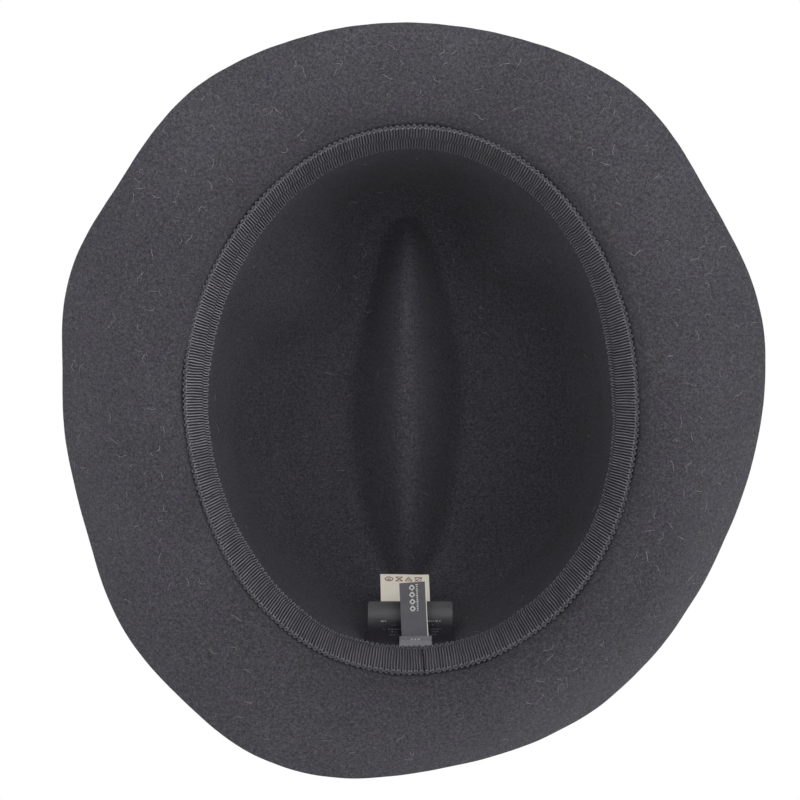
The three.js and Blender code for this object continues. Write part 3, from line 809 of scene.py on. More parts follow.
def length_table():
    """Polar angle against the share of the sweatband's length run from its join."""
    phi = BAND_JOIN + 2 * np.pi * np.arange(3601) / 3600
    point = band_point(phi, np.full(phi.shape, 0.35), np.zeros(phi.shape))
    steps = np.linalg.norm(np.diff(point, axis=0), axis=1)
    run = np.concatenate([[0], np.cumsum(steps)])
    return phi, run / run[-1], run[-1]


ROUND_ANGLE, ROUND_SHARE, ROUND_LENGTH = length_table()
RIBS = 2 * round(ROUND_LENGTH / BAND_RIB / 2)
PAIRS = RIBS // 2


def around(share):
    """Polar angle at a share of the sweatband's length; the ribs are evenly spaced in it."""
    share = np.asarray(share, float)
    turns = np.floor(share)
    return np.interp(share - turns, ROUND_SHARE, ROUND_ANGLE) + 2 * np.pi * turns


def crease_at(phi):
    """Share of the width at the pressed line where the ribs step half a pitch sideways."""
    return 0.765 + 0.04 * np.cos(phi) + 0.19 * np.sin(phi) + 0.075 * np.cos(2 * phi)


def build_sweatband():
    per_rib = 6
    count = per_rib * RIBS + 1
    gap = 0.32 / ROUND_LENGTH
    phi = around(gap + (1 - 2 * gap) * np.arange(count) / (count - 1) * (1 - 1e-9))
    ribs = (np.arange(count) / per_rib)[:, None]
    line = crease_at(phi)
    below, above = line - 0.045, line + 0.045
    share = np.stack(np.broadcast_arrays(
        0.0, 0.012, 0.05, 0.12, 0.12 + (below - 0.12) / 3, 0.12 + (below - 0.12) * 2 / 3,
        below, line - 0.015, line + 0.015, above, 0.5 * (above + 0.955),
        0.955, 0.985, 1.0), 1)
    phi, line = phi[:, None], line[:, None]
    shift = 0.5 * smooth((share - line + 0.045) / 0.09)
    lean = 0.12 * np.sin(phi * 9 + 1) + 0.10 * np.sin(phi * 23)
    # an even cylinder for the noise to lie on
    ground = np.stack(np.broadcast_arrays(100 * np.cos(phi), 100 * np.sin(phi), 22 * share), -1)
    phase = (ribs + shift + lean * (share - 0.3)
             + 0.10 * wobble(ground, 5.5, 31) * np.clip(share * (1 - share) * 6, 0, 1))
    # at the free edge the weft turns back, joining the ribs two by two
    pair = 0.5 + 0.5 * np.cos(np.pi * (phase + 0.5))
    turn = smooth((share - 0.955) / 0.03)
    rib = rib_wave(phase, 1.5) * (1 - turn) + pair ** 0.8 * turn
    uneven = 0.91 + 0.05 * np.sin(ribs * 2.3 + np.sin(ribs * 0.71) * 2)
    uneven = uneven + 0.05 * wobble(ground, 3.2, 32)
    crease = np.exp(-((share - line) / 0.022) ** 2) * (0.6 + 0.4 * np.sin(phi * 3 + 2))
    ends = np.clip(np.minimum(share / 0.02, (1 - share) / 0.02), 0, 1)
    height = 0.52 * rib * uneven * (1 - 0.35 * crease) - 0.05 * crease
    body = 0.14 + 0.30 * rounded(ends)
    edge_share = share + 0.014 * (pair - 0.5) * (share > 0.97)      # scalloped
    sag = 0.12 * wobble(ground, 24, 5) * smooth(share)
    near = band_point(phi, edge_share, body + height * (0.35 + 0.65 * ends) + sag)
    far = band_point(phi, edge_share, 0.12 * (1 - ends) + 0.04 * (1 - rib) + sag)
    # painted light and shade: the ribs' colour contrast is strongest at the sides; their shape is
    # the same all round
    painted_rib_contrast = 0.80 - 0.28 * np.cos(2 * phi + np.pi) + 0.14 * np.cos(phi + np.pi)
    tone = 0.47 + (rib - 0.47) * painted_rib_contrast
    # painted shade: the ribbon's colour darker at the front and along its pressed line
    front = np.maximum(0, -np.sin(phi))
    tone = tone * (1 - 0.30 * crease) * uneven * (1 - 0.13 * front ** 2)
    return sheet("sweatband_ribbon", near, far, False, {"rib": (tone, 0.3)}, sharp=55)


def build_picots():
    """The scalloped sewn edge: loops of weft, one to two ribs, that the seam goes through."""
    bow = np.linspace(-105, 105, 9) * RAD
    leg = np.linspace(0, 1, 5)
    runs = []
    for i in range(PAIRS):
        first, middle, last = [around((i + part) / PAIRS) for part in (0.25, 0.5, 0.75)]
        half = 0.56 * (last - first) * (1 + 0.10 * math.sin(i * 1.7))
        tip = 0.05 * (last - first) * math.sin(i * 2.3)
        reach = 13.5 * (1 + 0.12 * math.sin(i * 2.9 + 1) + 0.10 * math.sin(i * 0.37))
        degrees = 27.0 - sewn_in(middle) + reach * (np.cos(bow) + 0.26) / 1.26
        point, normal = on_turn(middle + half * np.sin(bow) + tip * np.cos(bow), degrees)
        path = point - normal * (AIR + 0.40 + 0.16 * np.cos(bow))[:, None]
        runs.append((path, -normal, 0.29 + 0.02 * math.sin(i * 4.1)))
        degrees = 24.0 - sewn_in(middle) + leg * (0.62 * reach + 3)
        point, normal = on_turn(np.full(5, middle) + tip, degrees)
        path = point - normal * (AIR + 0.44 + 0.10 * np.sin(leg * np.pi))[:, None]
        runs.append((path, -normal, 0.24))
    return tubes("sweatband_picot_edge", runs, sides=6, twist=4.0, ply=0.10)


def build_seam():
    """One thread, a short stitch over the ribbon's edge at every second rib."""
    per_stitch = 8
    count = PAIRS * per_stitch
    index = np.arange(count)
    phi = around(index / count)
    phase = 2 * np.pi * index / per_stitch + np.pi
    rise = 0.34 + 0.58 * np.cos(phase)
    degrees = 31.5 - sewn_in(phi) + 1.2 * np.sin(phase) + 0.6 * np.sin(phi * 17)
    point, normal = on_turn(phi, degrees)
    path = point - normal * (AIR + 0.42 + rise)[:, None]
    verts, faces = tube(path, -normal, 0.20 + 0.05 * np.cos(phase),
                        sides=6, twist=4.5, ply=0.14, closed=True)
    return make("sweatband_seam_stitches", to_row(verts), faces)


def build_join():
    """Slanted stitches up the line where the sweatband's ends meet."""
    places = []
    along = ring_direction(BAND_JOIN)
    for k, share in enumerate(np.linspace(0.2, 0.92, 9)):
        centre = band_point(np.array(BAND_JOIN), np.array(share), 0.72)
        _, normal = surface(BAND_JOIN, wall_at(10 + 18 * share))
        slant = np.cross(normal, along) * (0.35 if k % 2 else -0.35)
        places.append((centre, -normal, unit(along * 0.93 + slant)))
    return stitches("sweatband_join_stitches", places, half=0.72, rise=0.12, radius=0.13)


def build_label_stitches():
    """Stitches through the sweatband that hold the labels behind it."""
    places = []
    for x in np.arange(-15.5, 15.6, 2.38):
        phi = math.atan2(95, x)
        centre = band_point(np.array(phi), np.array(0.885 + 0.006 * math.sin(x * 3)), 0.74)
        _, normal = surface(phi, wall_at(27.0))
        places.append((centre, -normal, ring_direction(phi)))
    return stitches("label_stitches", places, half=0.8, rise=0.22, radius=0.16)


# the petersham's colour runs from painted shade in its grooves to a painted highlight on its ribs
attach(build_sweatband(),
       ribbon_material("petersham", dark=srgb(5, 5, 6), light=srgb(160, 158, 167),
                       painted_rib_highlight=srgb(204, 202, 212), spec=0.3, sheen=0.15, rough=(0.5, 0.75)),
       "sweatband")
attach(build_picots(),
       thread_material("petersham_edge_yarn", srgb(51, 50, 55), srgb(108, 106, 114)))
SEWING_THREAD = thread_material("sewing_thread", srgb(71, 69, 75), srgb(139, 137, 145))
attach(build_seam(), SEWING_THREAD, "sweatband_seam_thread")
attach(build_join(), thread_material("join_thread", srgb(24, 24, 26), srgb(64, 63, 68)),
       "sweatband_join_thread")
attach(build_label_stitches(), SEWING_THREAD, "label_stitch_thread")


# ------------------------------------------------------------------ hatband and bow
def build_hatband():
    per_rib, ribs = 5, 540
    count = per_rib * ribs + 1
    phi = (BOW_ANGLE + 0.003 + (2 * np.pi - 0.006) * np.arange(count) / (count - 1))[:, None]
    rib_run = (np.arange(count) / per_rib)[:, None]
    z = np.concatenate([
        HATBAND_LOW + np.array([0, 0.12, 0.4, 1.1]), np.linspace(12, 41, 9),
        HATBAND_HIGH - np.array([1.1, 0.4, 0.12, 0])])[None]
    rib = rib_wave(rib_run + 0.05 * np.sin(phi * 13) * (z - 26) / 10)
    from_edge = np.minimum(z - HATBAND_LOW, HATBAND_HIGH - z)
    corded = np.exp(-(((from_edge - 0.7) / 0.4) ** 2))
    full = rounded(np.clip(from_edge / 0.35, 0, 1))
    point, normal = surface(phi, wall_at(z))
    base = FELT + AIR + 0.06 + 0.10 * wobble(point, 38, 21)
    near = point + normal * (base + 0.10 * (1 - full))[..., None]
    thick = 0.16 + 0.30 * full + (0.2 * rib + 0.08 * corded) * full
    far = point + normal * (base + thick)[..., None]
    tone = rib * (0.85 + 0.15 * np.sin(rib_run * 1.9))
    return sheet("hatband_ribbon", near, far, False, {"rib": (0.3, tone)}, sharp=55)


def on_crown(run, z, off):
    """Point beside the bow: run mm round the wall, off mm outwards from the hatband."""
    point, normal = surface(BOW_ANGLE + run / BOW_RADIUS, wall_at(z))
    return point + normal * (FELT + AIR + 0.6 + off)[..., None]


def bow_strip(name, run, z_low, z_high, stand, closed, pleat, rows):
    """Ribbon along a path (run round the wall, stand off it), its edges at z_low and z_high."""
    normal_run, normal_off = plane_normals(run, stand, closed)
    steps = plane_steps(run, stand, closed)
    pitch = steps.sum() / round(steps.sum() / BOW_RIB) if closed else BOW_RIB
    share = np.concatenate([
        [0, 0.006, 0.02], np.linspace(0.05, 0.95, rows), [0.98, 0.994, 1]])[None]
    z = z_low[:, None] + (z_high - z_low)[:, None] * share
    rib = rib_wave(run_starts(steps)[:, None] / pitch)
    full = rounded(np.clip(np.minimum(share, 1 - share) / 0.012, 0, 1))
    half = 0.28 * (0.45 + 0.55 * full)
    bend = pleat(run[:, None], share)

    def face(sign):
        out = sign * (half + 0.14 * (rib - 0.5) * full)
        return on_crown(run[:, None] + normal_run[:, None] * out, z,
                        stand[:, None] + normal_off[:, None] * out + bend)
    return sheet(name, face(1.0), face(-1.0), closed, {"rib": (rib, rib)}, sharp=60)


def build_tail():
    """Flat ribbon under the bow, its end cut on a slant."""
    run = np.linspace(-20, 42, 430)
    slant = (run - 30) / 12

    def pleat(run, share):
        return 0.22 * smooth((run - 18) / 22) * np.sin(share * 5.2 + 0.6)
    return bow_strip(
        "bow_tail_ribbon", run, z_low=10.5 + np.maximum(0, slant) * 13, z_high=42.5 + 0 * run,
        stand=0.62 + 0.25 * smooth(slant), closed=False, pleat=pleat, rows=18)


def build_loops():
    """One closed ribbon, flattened to a loop each side of the knot."""
    reach, low, gap = 31.0, 2.35, 2.6
    radius = gap / 2
    line = np.arange(-reach, reach, 0.19)
    arc = np.linspace(-np.pi / 2, np.pi / 2, 24)[1:-1]
    end = reach + 1.15 * radius * np.cos(arc)
    run = np.concatenate([line, end, line[::-1], -end])
    back = np.abs(line[::-1])
    bulge = 0.9 * smooth((back - 7) / 12) * (1 - 0.45 * smooth((back - 22) / 10))
    climb = np.sin(arc)
    stand = np.concatenate([
        low + 0 * line, low + radius + radius * climb + 0.5 * (1 + climb) / 2,
        low + gap + bulge, low + radius - radius * climb + 0.5 * (1 - climb) / 2])
    pinch = 4.6 * np.exp(-((run / 12.0) ** 2))
    outer = (stand > low + radius)[:, None]

    def pleat(run, share):
        near = np.exp(-np.maximum(0, np.abs(run) - 5.5) / 8.0)
        flat = 1 - 0.55 * np.exp(-(run / 6.5) ** 4)
        return 0.36 * near * np.cos(share * 2 * np.pi * 2.5) * np.where(outer, 1, 0.35) * flat
    return bow_strip("bow_loops_ribbon", run, 10 + pinch, 43 - pinch, stand, closed=True,
                     pleat=pleat, rows=22)


def build_knot():
    """Narrow ribbon round the middle of the loops; its ribs lie across it."""
    z_low, z_high, low, high, half_width = 11.2, 41.8, 1.42, 6.2, 6.4
    centre_z, centre_off = (z_low + z_high) / 2, (low + high) / 2
    half_z, half_off = (z_high - z_low) / 2, (high - low) / 2
    squareness, count = 5.0, 540
    # a superellipse in side view, resampled to even steps
    angle = np.linspace(0, 2 * np.pi, 6001)[:-1]
    cosine, sine = np.cos(angle), np.sin(angle)
    curve_z = centre_z + half_z * np.sign(cosine) * np.abs(cosine) ** (2 / squareness)
    curve_off = centre_off + half_off * np.sign(sine) * np.abs(sine) ** (2 / squareness)
    steps = plane_steps(curve_z, curve_off, True)
    start, total = run_starts(steps), steps.sum()
    run = np.arange(count) * total / count
    z, off = np.interp(run, start, curve_z), np.interp(run, start, curve_off)
    normal_off, normal_z = plane_normals(off, z, True)      # outwards
    across = np.concatenate([
        [-1, -0.985, -0.95], np.linspace(-0.88, 0.88, 11), [0.95, 0.985, 1]])[None]
    rib = rib_wave(round(total / BOW_RIB) * run[:, None] / total)
    full = rounded(np.clip((1 - np.abs(across)) / 0.03, 0, 1))
    outer = (off - centre_off > 0)[:, None]
    from_middle = z[:, None] - centre_z
    waist = 1 - 0.10 * np.exp(-((from_middle / 9.0) ** 2)) * outer
    swell = 0.28 * (1 - across ** 2) * outer
    fold = 0.18 * np.sin(across * 6.0 + 0.8) * outer * np.cos(from_middle * 0.12)
    half = 0.25 * (0.5 + 0.5 * full)

    def face(sign):
        out = sign * (half + 0.10 * (rib - 0.5) * full)
        return on_crown(half_width * across * waist, z[:, None] + normal_z[:, None] * out,
                        off[:, None] + normal_off[:, None] * out + swell + fold)
    return sheet("bow_knot_ribbon", face(1.0), face(-1.0), True, {"rib": (rib, rib)}, sharp=60)


def build_tack(name, phi):
    """Two short crossed stitches near the hatband's upper edge."""
    places = []
    along = ring_direction(phi)
    for rise, lean in ((0.0, 0.25), (0.55, -0.25)):
        point, normal = surface(phi, wall_at(HATBAND_HIGH - 2.2 + rise))
        direction = unit(along + np.cross(along, normal) * lean)
        places.append((point + normal * (FELT + AIR + 0.86), normal, direction))
    return stitches(name, places, half=2.1, rise=0.22, radius=0.19)


# the grosgrain's colour runs from painted shade in its grooves to a painted highlight on its ribs
GROSGRAIN = ribbon_material(
    "grosgrain", dark=srgb(16, 16, 18), light=srgb(44, 44, 48), painted_rib_highlight=srgb(66, 66, 71),
    spec=0.4, sheen=0.2, rough=(0.42, 0.62))
for build, node in ((build_hatband, "hatband"), (build_tail, "bow_tail"),
                    (build_loops, "bow_loops"), (build_knot, "bow_knot")):
    attach(build(), GROSGRAIN, node)

BLACK_THREAD = thread_material("black_thread", srgb(22, 22, 24), srgb(60, 60, 64))
for place, phi in (("front", -math.pi / 2), ("back", math.pi / 2)):
    attach(build_tack(f"hatband_{place}_stitches", phi), BLACK_THREAD,
           f"hatband_tack_{place}")


# ------------------------------------------------------------------ labels
def resample(path, step):
    """Smooth curve through a side-view path of (y, z), evenly spaced: y, z and run."""
    path = np.array(path, float)
    fine = np.linspace(0, len(path) - 1, 2000)
    y, z = spline(path[:, 0])(fine), spline(path[:, 1])(fine)
    run = run_starts(plane_steps(y, z, False))
    count = max(6, int(round(run[-1] / step)))
    even = np.linspace(0, run[-1], count + 1)
    return np.interp(even, run, y), np.interp(even, run, z), even


class Label:
    """A strip that bends only in side view, its face towards the hat's axis and down.

    Its path starts at the bend line (y_start, LABEL_Z); x_middle is its middle there. skew
    moves it sideways, twist turns it, curl lifts its long edges and wave ripples it.
    flap is its body when there is no parent; with a parent the piece is only baked in place. lift
    is not used.
    """

    def __init__(self, y_start, x_middle, width, path, slot, flap=None, parent=None, lift=3.2,
                 skew=0.0, twist=0.0, curl=0.0, wave=0.0, step=0.35, seed=1, facing=1):
        self.y, self.z, self.run = resample(
            [(y_start + y, LABEL_Z + z) for y, z in path], step)
        normal_y, normal_z = plane_normals(self.y, self.z, False)
        self.normal_y, self.normal_z = facing * normal_y, facing * normal_z
        self.x_middle, self.width, self.length = x_middle, width, self.run[-1]
        self.skew, self.twist, self.curl, self.wave, self.seed = skew, twist, curl, wave, seed
        self.slot, self.flap, self.parent, self.lift = slot, flap, parent, lift

    def point(self, across, along, off):
        """across is -0.5 to 0.5 of the width, along and off the face are in mm."""
        across, along, off = np.broadcast_arrays(across, along, off)
        y, z, normal_y, normal_z = [
            np.interp(along, self.run, part)
            for part in (self.y, self.z, self.normal_y, self.normal_z)]
        share = along / self.length
        ripple = np.sin(across * 5.0 + share * 4.0 + self.seed)
        out = off + self.curl * (2 * np.abs(across)) ** 3 * share + self.wave * ripple * share
        return np.stack([
            self.x_middle + across * self.width + self.skew * along,
            y + normal_y * out + self.twist * across * self.width * share,
            z + normal_z * out], -1)

    def strip(self, name, thick, corner, shorter=0.0, off=0.0, shift=0.0, step=0.4):
        """The cloth, with rounded far corners; shift is a share of the width."""
        end = self.length - shorter
        along = end * np.linspace(0, 1, max(8, int(end / 0.35)))
        narrow = np.ones(len(along))
        if corner:
            near_end = end - corner * np.array([0.6, 0.3, 0.12, 0.03, 0])
            along = np.sort(np.concatenate([along[:-1], near_end]))
            into = np.clip((corner - (end - along)) / corner, 0, 1)
            narrow = 1 - (1 - np.sqrt(1 - into ** 2 * 0.98)) * corner * 2 / self.width
        across = np.linspace(-0.5, 0.5, max(6, int(self.width / step)))
        inset = 0.12 / self.width
        across = np.concatenate([
            across[:1], across[:1] + inset, across[1:-1], across[-1:] - inset, across[-1:]])
        edge = np.clip((0.5 - np.abs(across)) * self.width / 0.14, 0, 1)[None]
        tip = np.clip((end - along) / 0.12, 0, 1)[:, None]
        half = thick / 2 * (0.35 + 0.65 * rounded(np.minimum(edge, tip)))
        along, placed = along[:, None], across[None] * narrow[:, None] + shift
        near, far = [self.point(placed, along, off + side * half) for side in (1, -1)]
        across_mm = across[None] * self.width
        attrs = {"edge": (1 - edge,) * 2, "sheet_u": (across_mm,) * 2, "sheet_v": (along,) * 2}
        return sheet(name, near, far, False, attrs, sharp=50)

    def print_on(self, name, outlines, off, material, thick=0.05):
        """Thin raised shapes from outlines of (mm from the middle, mm along)."""
        verts, faces, base = [], [], 0
        for outline in outlines:
            across, along = np.array(outline, float).T
            count = len(across)
            for height in (off + thick, off - 0.02):
                verts.append(self.point(across / self.width, along, height))
            faces.append(list(range(base, base + count)))
            faces.append(list(range(base + count, base + 2 * count))[::-1])
            for i in range(count):
                j = (i + 1) % count
                faces.append([base + i, base + count + i, base + count + j, base + j])
            base += 2 * count
        self.attach(make(name, to_row(np.concatenate(verts)), faces), material)

    def attach(self, piece, material, node=None):
        dress(piece, material, node)
        if self.parent is None:
            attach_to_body(piece, self.flap)
            return
        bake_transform(piece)


def bar(x_start, start, x_end, end, width):
    """Straight stroke as an outline, from (x, along) to (x, along)."""
    first, last = np.array([x_start, start]), np.array([x_end, end])
    heading = (last - first) / np.hypot(*(last - first))
    side = np.array([-heading[1], heading[0]]) * width / 2
    return [first + side, first - side, last - side, last + side]


def ring_strokes(x_centre, x_radius, radius, width, count=14):
    """An ellipse round (x_centre, 0) as a chain of short strokes."""
    out = []
    for i in range(count):
        start, end = 2 * math.pi * i / count, 2 * math.pi * (i + 1.02) / count
        out.append([
            (x_centre + (x_radius + side * width / 2) * math.cos(angle),
             (radius + side * width / 2) * math.sin(angle))
            for side, angle in ((-1, start), (1, start), (1, end), (-1, end))])
    return out


rng = np.random.default_rng(17)


def dashes(rows):
    """Short dashes for fine print; rows of (along, x start, x end, height, share left out)."""
    out = []
    for along, x, x_end, tall, missing in rows:
        while x < x_end:
            width = rng.uniform(0.45, 1.3)
            if rng.uniform() > missing:
                out.append(bar(x, along, x + width, along, tall * rng.uniform(0.6, 1.0)))
            x += width + rng.uniform(0.25, 0.5)
    return out


# Paths are (y, z) from the bend line.
TAB = Label(
    92.8, 1.6, 12.6, [(0, 0), (-0.5, 1.9), (-1.2, 3.9)],
    "label_tab", "size_tab_flap", wave=0.12, seed=2)
WOVEN = Label(
    93.7, 1.5, 10.0,
    [(0, 0), (-1.6, 4.4), (-4.2, 7.2), (-9.5, 9.6), (-15.6, 11.2), (-22.3, 12.1)],
    "label_woven", "woven_label_flap", "satin_label_flap",
    skew=-0.045, twist=-0.07, curl=0.15, wave=0.10, seed=3)
SATIN = Label(
    94.4, -0.4, 33.6,
    [(0, 0), (-1.1, 5.0), (-3.3, 10.2), (-6.2, 14.4), (-10.4, 17.0), (-15.0, 18.0)],
    "label_satin", "satin_label_flap", "care_label_flap", curl=0.5, wave=0.12, seed=4)
CARE = Label(
    95.1, -1.5, 19.6,
    [(0, 0), (-1.0, 6.0), (-3.2, 13.0), (-7.6, 19.6), (-15.6, 27.0), (-24.8, 34.6)],
    "label_white", "care_label_flap", "root", lift=4.0,
    skew=-0.025, curl=0.25, wave=0.22, seed=5)

CARE_CLOTH = weave_material(
    "white_nylon", srgb(254, 241, 222), srgb(255, 252, 240), pitch=(0.22, 0.26),
    rough=0.5, spec=0.5, sheen=0.6, edge=srgb(232, 228, 220))
SATIN_CLOTH = weave_material(
    "black_satin", srgb(30, 28, 33), srgb(53, 51, 58), pitch=(0.16, 0.7),
    rough=0.34, spec=0.75, sheen=0.1, anisotropic=0.6, depth=0.00003)
WOVEN_CLOTH = weave_material(
    "damask", srgb(82, 81, 87), srgb(119, 117, 124), pitch=(0.26, 0.30),
    rough=0.6, spec=0.35, sheen=0.25)
TAB_CLOTH = weave_material(
    "grey_tape", srgb(112, 111, 114), srgb(154, 153, 156), pitch=(0.30, 0.34),
    rough=0.65, spec=0.3, sheen=0.2)
WHITE_YARN = thread_material("white_yarn", srgb(214, 214, 210), srgb(250, 250, 246))
INK_RED = thread_material("care_ink", srgb(120, 52, 62), srgb(158, 84, 92))
INK_GREY = thread_material("faint_print", srgb(74, 73, 78), srgb(122, 121, 127))
INK_PALE = thread_material("pale_print", srgb(120, 119, 124), srgb(190, 188, 194))

# Strokes of the care signs round the middle of their row: x, height, x, height, width.
CARE_STROKES = [
    (-7.1, 0, -5.5, 0, 0.3), (-7.0, 0.4, -5.6, 0.4, 0.22),              # in the ring
    (-3.6, -0.9, -0.9, 0.9, 0.34), (-3.6, 0.9, -0.9, -0.9, 0.34),       # cross with two bars
    (-3.6, -0.95, -0.9, -0.95, 0.28), (-3.6, 0.95, -0.9, 0.95, 0.28),
    (0.2, 0.9, 2.9, 0.9, 0.34), (0.2, 0.9, 1.55, -1.0, 0.34),           # triangle
    (2.9, 0.9, 1.55, -1.0, 0.34), (0.9, 0.1, 2.2, 0.1, 0.24),
    (4.1, -0.8, 6.9, -0.8, 0.34), (4.1, -0.8, 4.7, 0.8, 0.3),           # struck-out tub
    (6.9, -0.8, 6.3, 0.8, 0.3), (4.7, 0.8, 6.3, 0.8, 0.3), (4.0, 1.0, 7.0, -1.0, 0.3)]


def build_care_label():
    """White label with invented pictograms."""
    CARE.attach(CARE.strip("care_label_cloth", 0.2, corner=0.3), CARE_CLOTH, "care_label")
    signs = ring_strokes(-6.3, 1.55, 0.95, 0.34) + [bar(*stroke) for stroke in CARE_STROKES]
    row = CARE.length - 2.35
    signs = [[(x, row - height) for x, height in outline] for outline in signs]
    CARE.print_on("care_label_signs", signs, 0.10, INK_RED, thick=0.03)


def build_satin_label():
    """Thick satin label, for a ribbon folded double, with print."""
    SATIN.attach(SATIN.strip("satin_label_cloth", 0.42, corner=1.3, step=0.5),
                 SATIN_CLOTH, "satin_label")
    end = SATIN.length
    SATIN.print_on("satin_label_print", dashes([(end - 8.3, -11.6, 12.4, 0.8, 0.10)]),
                   0.30, INK_PALE, thick=0.04)
    fine = dashes([
        (end - 10.1, -7.5, 9.0, 0.5, 0.3), (end - 12.6, -10.5, 12.0, 0.55, 0.15),
        (end - 14.2, -8.6, 10.5, 0.5, 0.2), (end - 16.3, -8.0, 10.0, 0.5, 0.25)])
    SATIN.print_on("satin_label_fine_print", fine, 0.24, INK_GREY, thick=0.04)


def build_woven_label():
    """Two layers, with a plain geometric stripe in white yarn."""
    WOVEN.attach(WOVEN.strip("woven_label_cloth", 0.22, corner=0.15, off=0.1, step=0.3),
                 WOVEN_CLOTH, "woven_label")
    WOVEN.attach(WOVEN.strip("woven_label_under", 0.14, corner=0.15, shorter=0.25, off=-0.1,
                             shift=0.035, step=0.3), WHITE_YARN)
    motif = []
    for k in range(4):                                      # a column of small diamonds
        middle = WOVEN.length - 2.1 - 2.75 * k
        corners = [(-0.2, middle - 1.0), (0.8, middle), (-0.2, middle + 1.0), (-1.2, middle)]
        motif += [bar(*corners[i], *corners[(i + 1) % 4], 0.52) for i in range(4)]
    for k in range(15):                                     # a dashed line beside them
        middle = WOVEN.length - 1.0 - 0.72 * k
        motif.append(bar(1.75, middle - 0.2, 1.75, middle + 0.2, 0.62 if k % 3 else 0.95))
    WOVEN.print_on("woven_label_motif", motif, 0.23, WHITE_YARN)


def build_size_tab():
    """Short tab with three slanted strokes."""
    TAB.attach(TAB.strip("size_tab_cloth", 0.36, corner=0.2, step=0.3), TAB_CLOTH, "size_tab")
    strokes = [bar(-1.75 + 1.35 * k, 0.35, -1.25 + 1.35 * k, 1.55, 0.60) for k in range(3)]
    TAB.print_on("size_tab_strokes", strokes, 0.20, WHITE_YARN)


def build_sewn_end(name, label, y_end, thick, material):
    """From a label's bend line over the sweatband's free edge and down behind it."""
    reach = y_end - label.y[0]
    path = [(0, 0), (reach * 0.45, -0.75), (reach * 0.86, -1.35), (reach, -2.4),
            (reach + 0.1, -5.2)]
    end = Label(label.y[0], label.x_middle, label.width, path, label.slot, step=0.3, facing=-1)
    attach(end.strip(name, thick, corner=0.0, step=0.5), material)


build_care_label()
build_satin_label()
build_woven_label()
build_size_tab()
build_sewn_end("size_tab_sewn_end", TAB, 95.42, 0.32, TAB_CLOTH)
build_sewn_end("woven_label_sewn_end", WOVEN, 95.85, 0.32, WOVEN_CLOTH)
build_sewn_end("satin_label_sewn_end", SATIN, 96.32, 0.36, SATIN_CLOTH)
build_sewn_end("care_label_sewn_end", CARE, 96.78, 0.2, CARE_CLOTH)

# ------------------------------------------------------------------ stage, light and camera
scene = bpy.context.scene
scene.view_settings.view_transform = "Standard"
scene.view_settings.look = "None"
scene.view_settings.exposure = 0.0
scene.view_settings.gamma = 1.0

FLOOR_RADIUS, FLOOR_Z = 24.0, -0.0002        # metres
# Strength of the room's light by direction. From the sides and the back, below the hat:
# (low, steep); from above: even.
ROOM_LEFT, ROOM_RIGHT, ROOM_BACK, ROOM_ABOVE = (0.45, 1.16), (0.88, 0.16), (1.20, 1.20), 0.76
ROOM_UNLINKED = 0.62                         # on the socket if its link is ever taken away
# name, place and aim in metres, size in metres, power in watts
LIGHTS = [
    # below and in front, for the view into the hat
    ("low_softbox_left", (0.20, -0.25, -0.40), (0, 0, 0), 0.34, 0.74),
    ("low_softbox_right", (-0.20, -0.25, -0.40), (0, 0, 0), 0.34, 0.86),
    ("side_softbox", (0.50, -0.30, -0.20), (0, 0, 0), 0.34, 0.66),
    # above, for the standing hat
    ("key_softbox", (-2.2, -2.7, 3.2), (0, 0, 0.05), 2.2, 135.0),
    ("fill_softbox", (3.2, 1.8, 2.4), (0, 0, 0.05), 2.4, 42.0)]
CAMERA_PLACE = np.array([-4.44, 0.0, -750.0])   # design millimetres, below the hat


def floor_material():
    """Pale, and seen only by the camera and only from above."""
    nodes = material_nodes("pale_floor")
    camera_ray = nodes.add("ShaderNodeLightPath").outputs["Is Camera Ray"]
    backfacing = nodes.add("ShaderNodeNewGeometry").outputs["Backfacing"]
    diffuse = nodes.add("ShaderNodeBsdfDiffuse")
    nodes.put((0.80, 0.80, 0.79), diffuse.inputs[0])
    clear = nodes.add("ShaderNodeBsdfTransparent")
    both = nodes.add("ShaderNodeMixShader")
    seen = nodes.math("MULTIPLY", camera_ray, nodes.math("SUBTRACT", 1.0, backfacing))
    for i, output in enumerate((seen, clear.outputs[0], diffuse.outputs[0])):
        nodes.put(output, both.inputs[i])
    nodes.put(both.outputs[0], nodes.output.inputs[0])
    return nodes.owner


def build_floor():
    mesh = bpy.data.meshes.new("floor")
    angles = [math.radians(10 * k) for k in range(36)]
    mesh.from_pydata(
        [(FLOOR_RADIUS * math.cos(angle), FLOOR_RADIUS * math.sin(angle), FLOOR_Z)
         for angle in angles], [], [list(range(36))])
    floor = bpy.data.objects.new("floor", mesh)
    scene.collection.objects.link(floor)
    mesh.materials.append(floor_material())


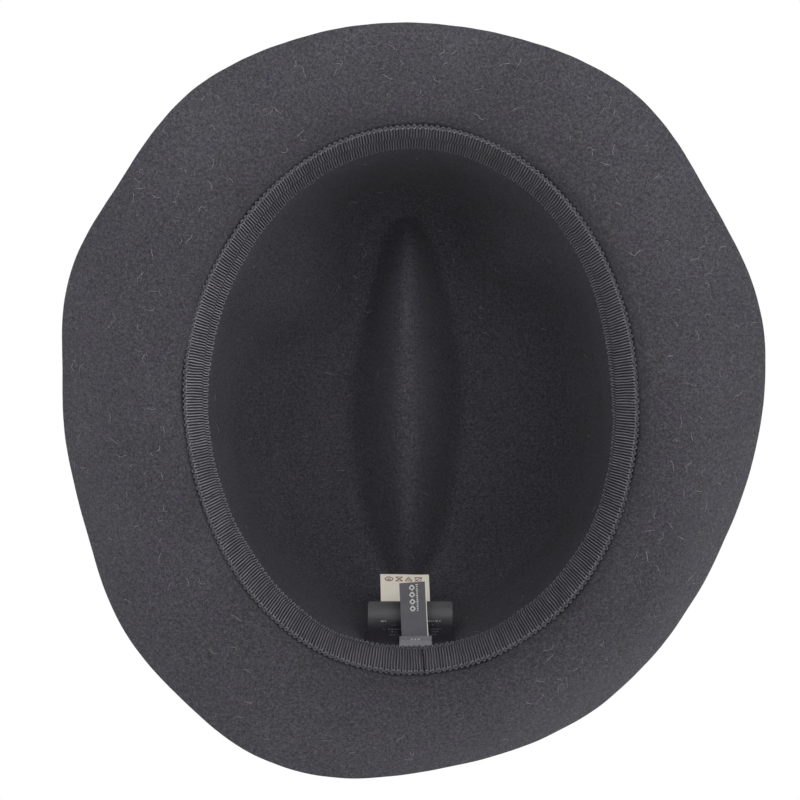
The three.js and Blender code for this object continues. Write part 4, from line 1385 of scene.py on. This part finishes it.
def build_world():
    world = bpy.data.worlds.new("studio")
    scene.world = world
    nodes = Nodes(world, "ShaderNodeOutputWorld")
    seen, light = nodes.add("ShaderNodeBackground"), nodes.add("ShaderNodeBackground")
    for background in (seen, light):
        nodes.put((1, 1, 1), background.inputs[0])
    nodes.put(ROOM_UNLINKED, light.inputs[1])
    separate = nodes.add("ShaderNodeSeparateXYZ")
    nodes.put(nodes.coords("Generated"), separate.inputs[0])
    x, y, z = separate.outputs
    steep = nodes.remap(z, (-0.4, -0.6), (0.0, 1.0))

    def side(along, strengths):
        low, high = strengths
        strength = nodes.math("ADD", nodes.math("MULTIPLY", steep, high - low), low)
        return nodes.math("MULTIPLY", nodes.math("MAXIMUM", along, 0.0), strength)

    sides = nodes.math("ADD", side(x, ROOM_LEFT),
                       side(nodes.math("MULTIPLY", x, -1.0), ROOM_RIGHT))
    below = nodes.math("ADD", sides, side(y, ROOM_BACK))
    over = nodes.remap(z, (0.0, 0.15), (0.0, 1.0))
    under = nodes.math("MULTIPLY", below, nodes.math("SUBTRACT", 1.0, over))
    room = nodes.math("ADD", under, nodes.math("MULTIPLY", over, ROOM_ABOVE))
    nodes.put(room, light.inputs[1])
    # painted shade on the backdrop: darker low down, where the far floor runs into it, and white
    # higher up
    backdrop_painted_shade = nodes.remap(z, (-0.02, 0.26), (0.62, 1.0), interpolation_type="SMOOTHERSTEP")
    nodes.put(backdrop_painted_shade, seen.inputs[1])
    both = nodes.add("ShaderNodeMixShader")
    camera_ray = nodes.add("ShaderNodeLightPath").outputs["Is Camera Ray"]
    for i, output in enumerate((camera_ray, light.outputs[0], seen.outputs[0])):
        nodes.put(output, both.inputs[i])
    nodes.put(both.outputs[0], nodes.output.inputs[0])


def build_light(name, place, aim, size, power):
    data = bpy.data.lights.new(name, "AREA")
    data.shape = "DISK"
    data.size = size
    data.energy = power
    light = bpy.data.objects.new(name, data)
    light.location = place
    light.rotation_mode = "QUATERNION"
    light.rotation_quaternion = (Vector(aim) - Vector(place)).to_track_quat("-Z", "Y")
    scene.collection.objects.link(light)


def build_camera():
    """Looks straight up the hat's own axis, with its front at the top."""
    data = bpy.data.cameras.new("camera")
    data.lens = 91.2
    data.sensor_width = 36.0
    data.clip_start, data.clip_end = 0.01, 50
    camera = bpy.data.objects.new("camera", data)
    scene.collection.objects.link(camera)
    scene.camera = camera
    cosine, sine = math.cos(PITCH), math.sin(PITCH)
    x, y, z = to_row(CAMERA_PLACE)
    camera.matrix_world = Matrix((
        (1, 0, 0, x),
        (0, -cosine, sine, y),
        (0, -sine, -cosine, z),
        (0, 0, 0, 1)))


build_floor()
build_world()
for entry in LIGHTS:
    build_light(*entry)
build_camera()
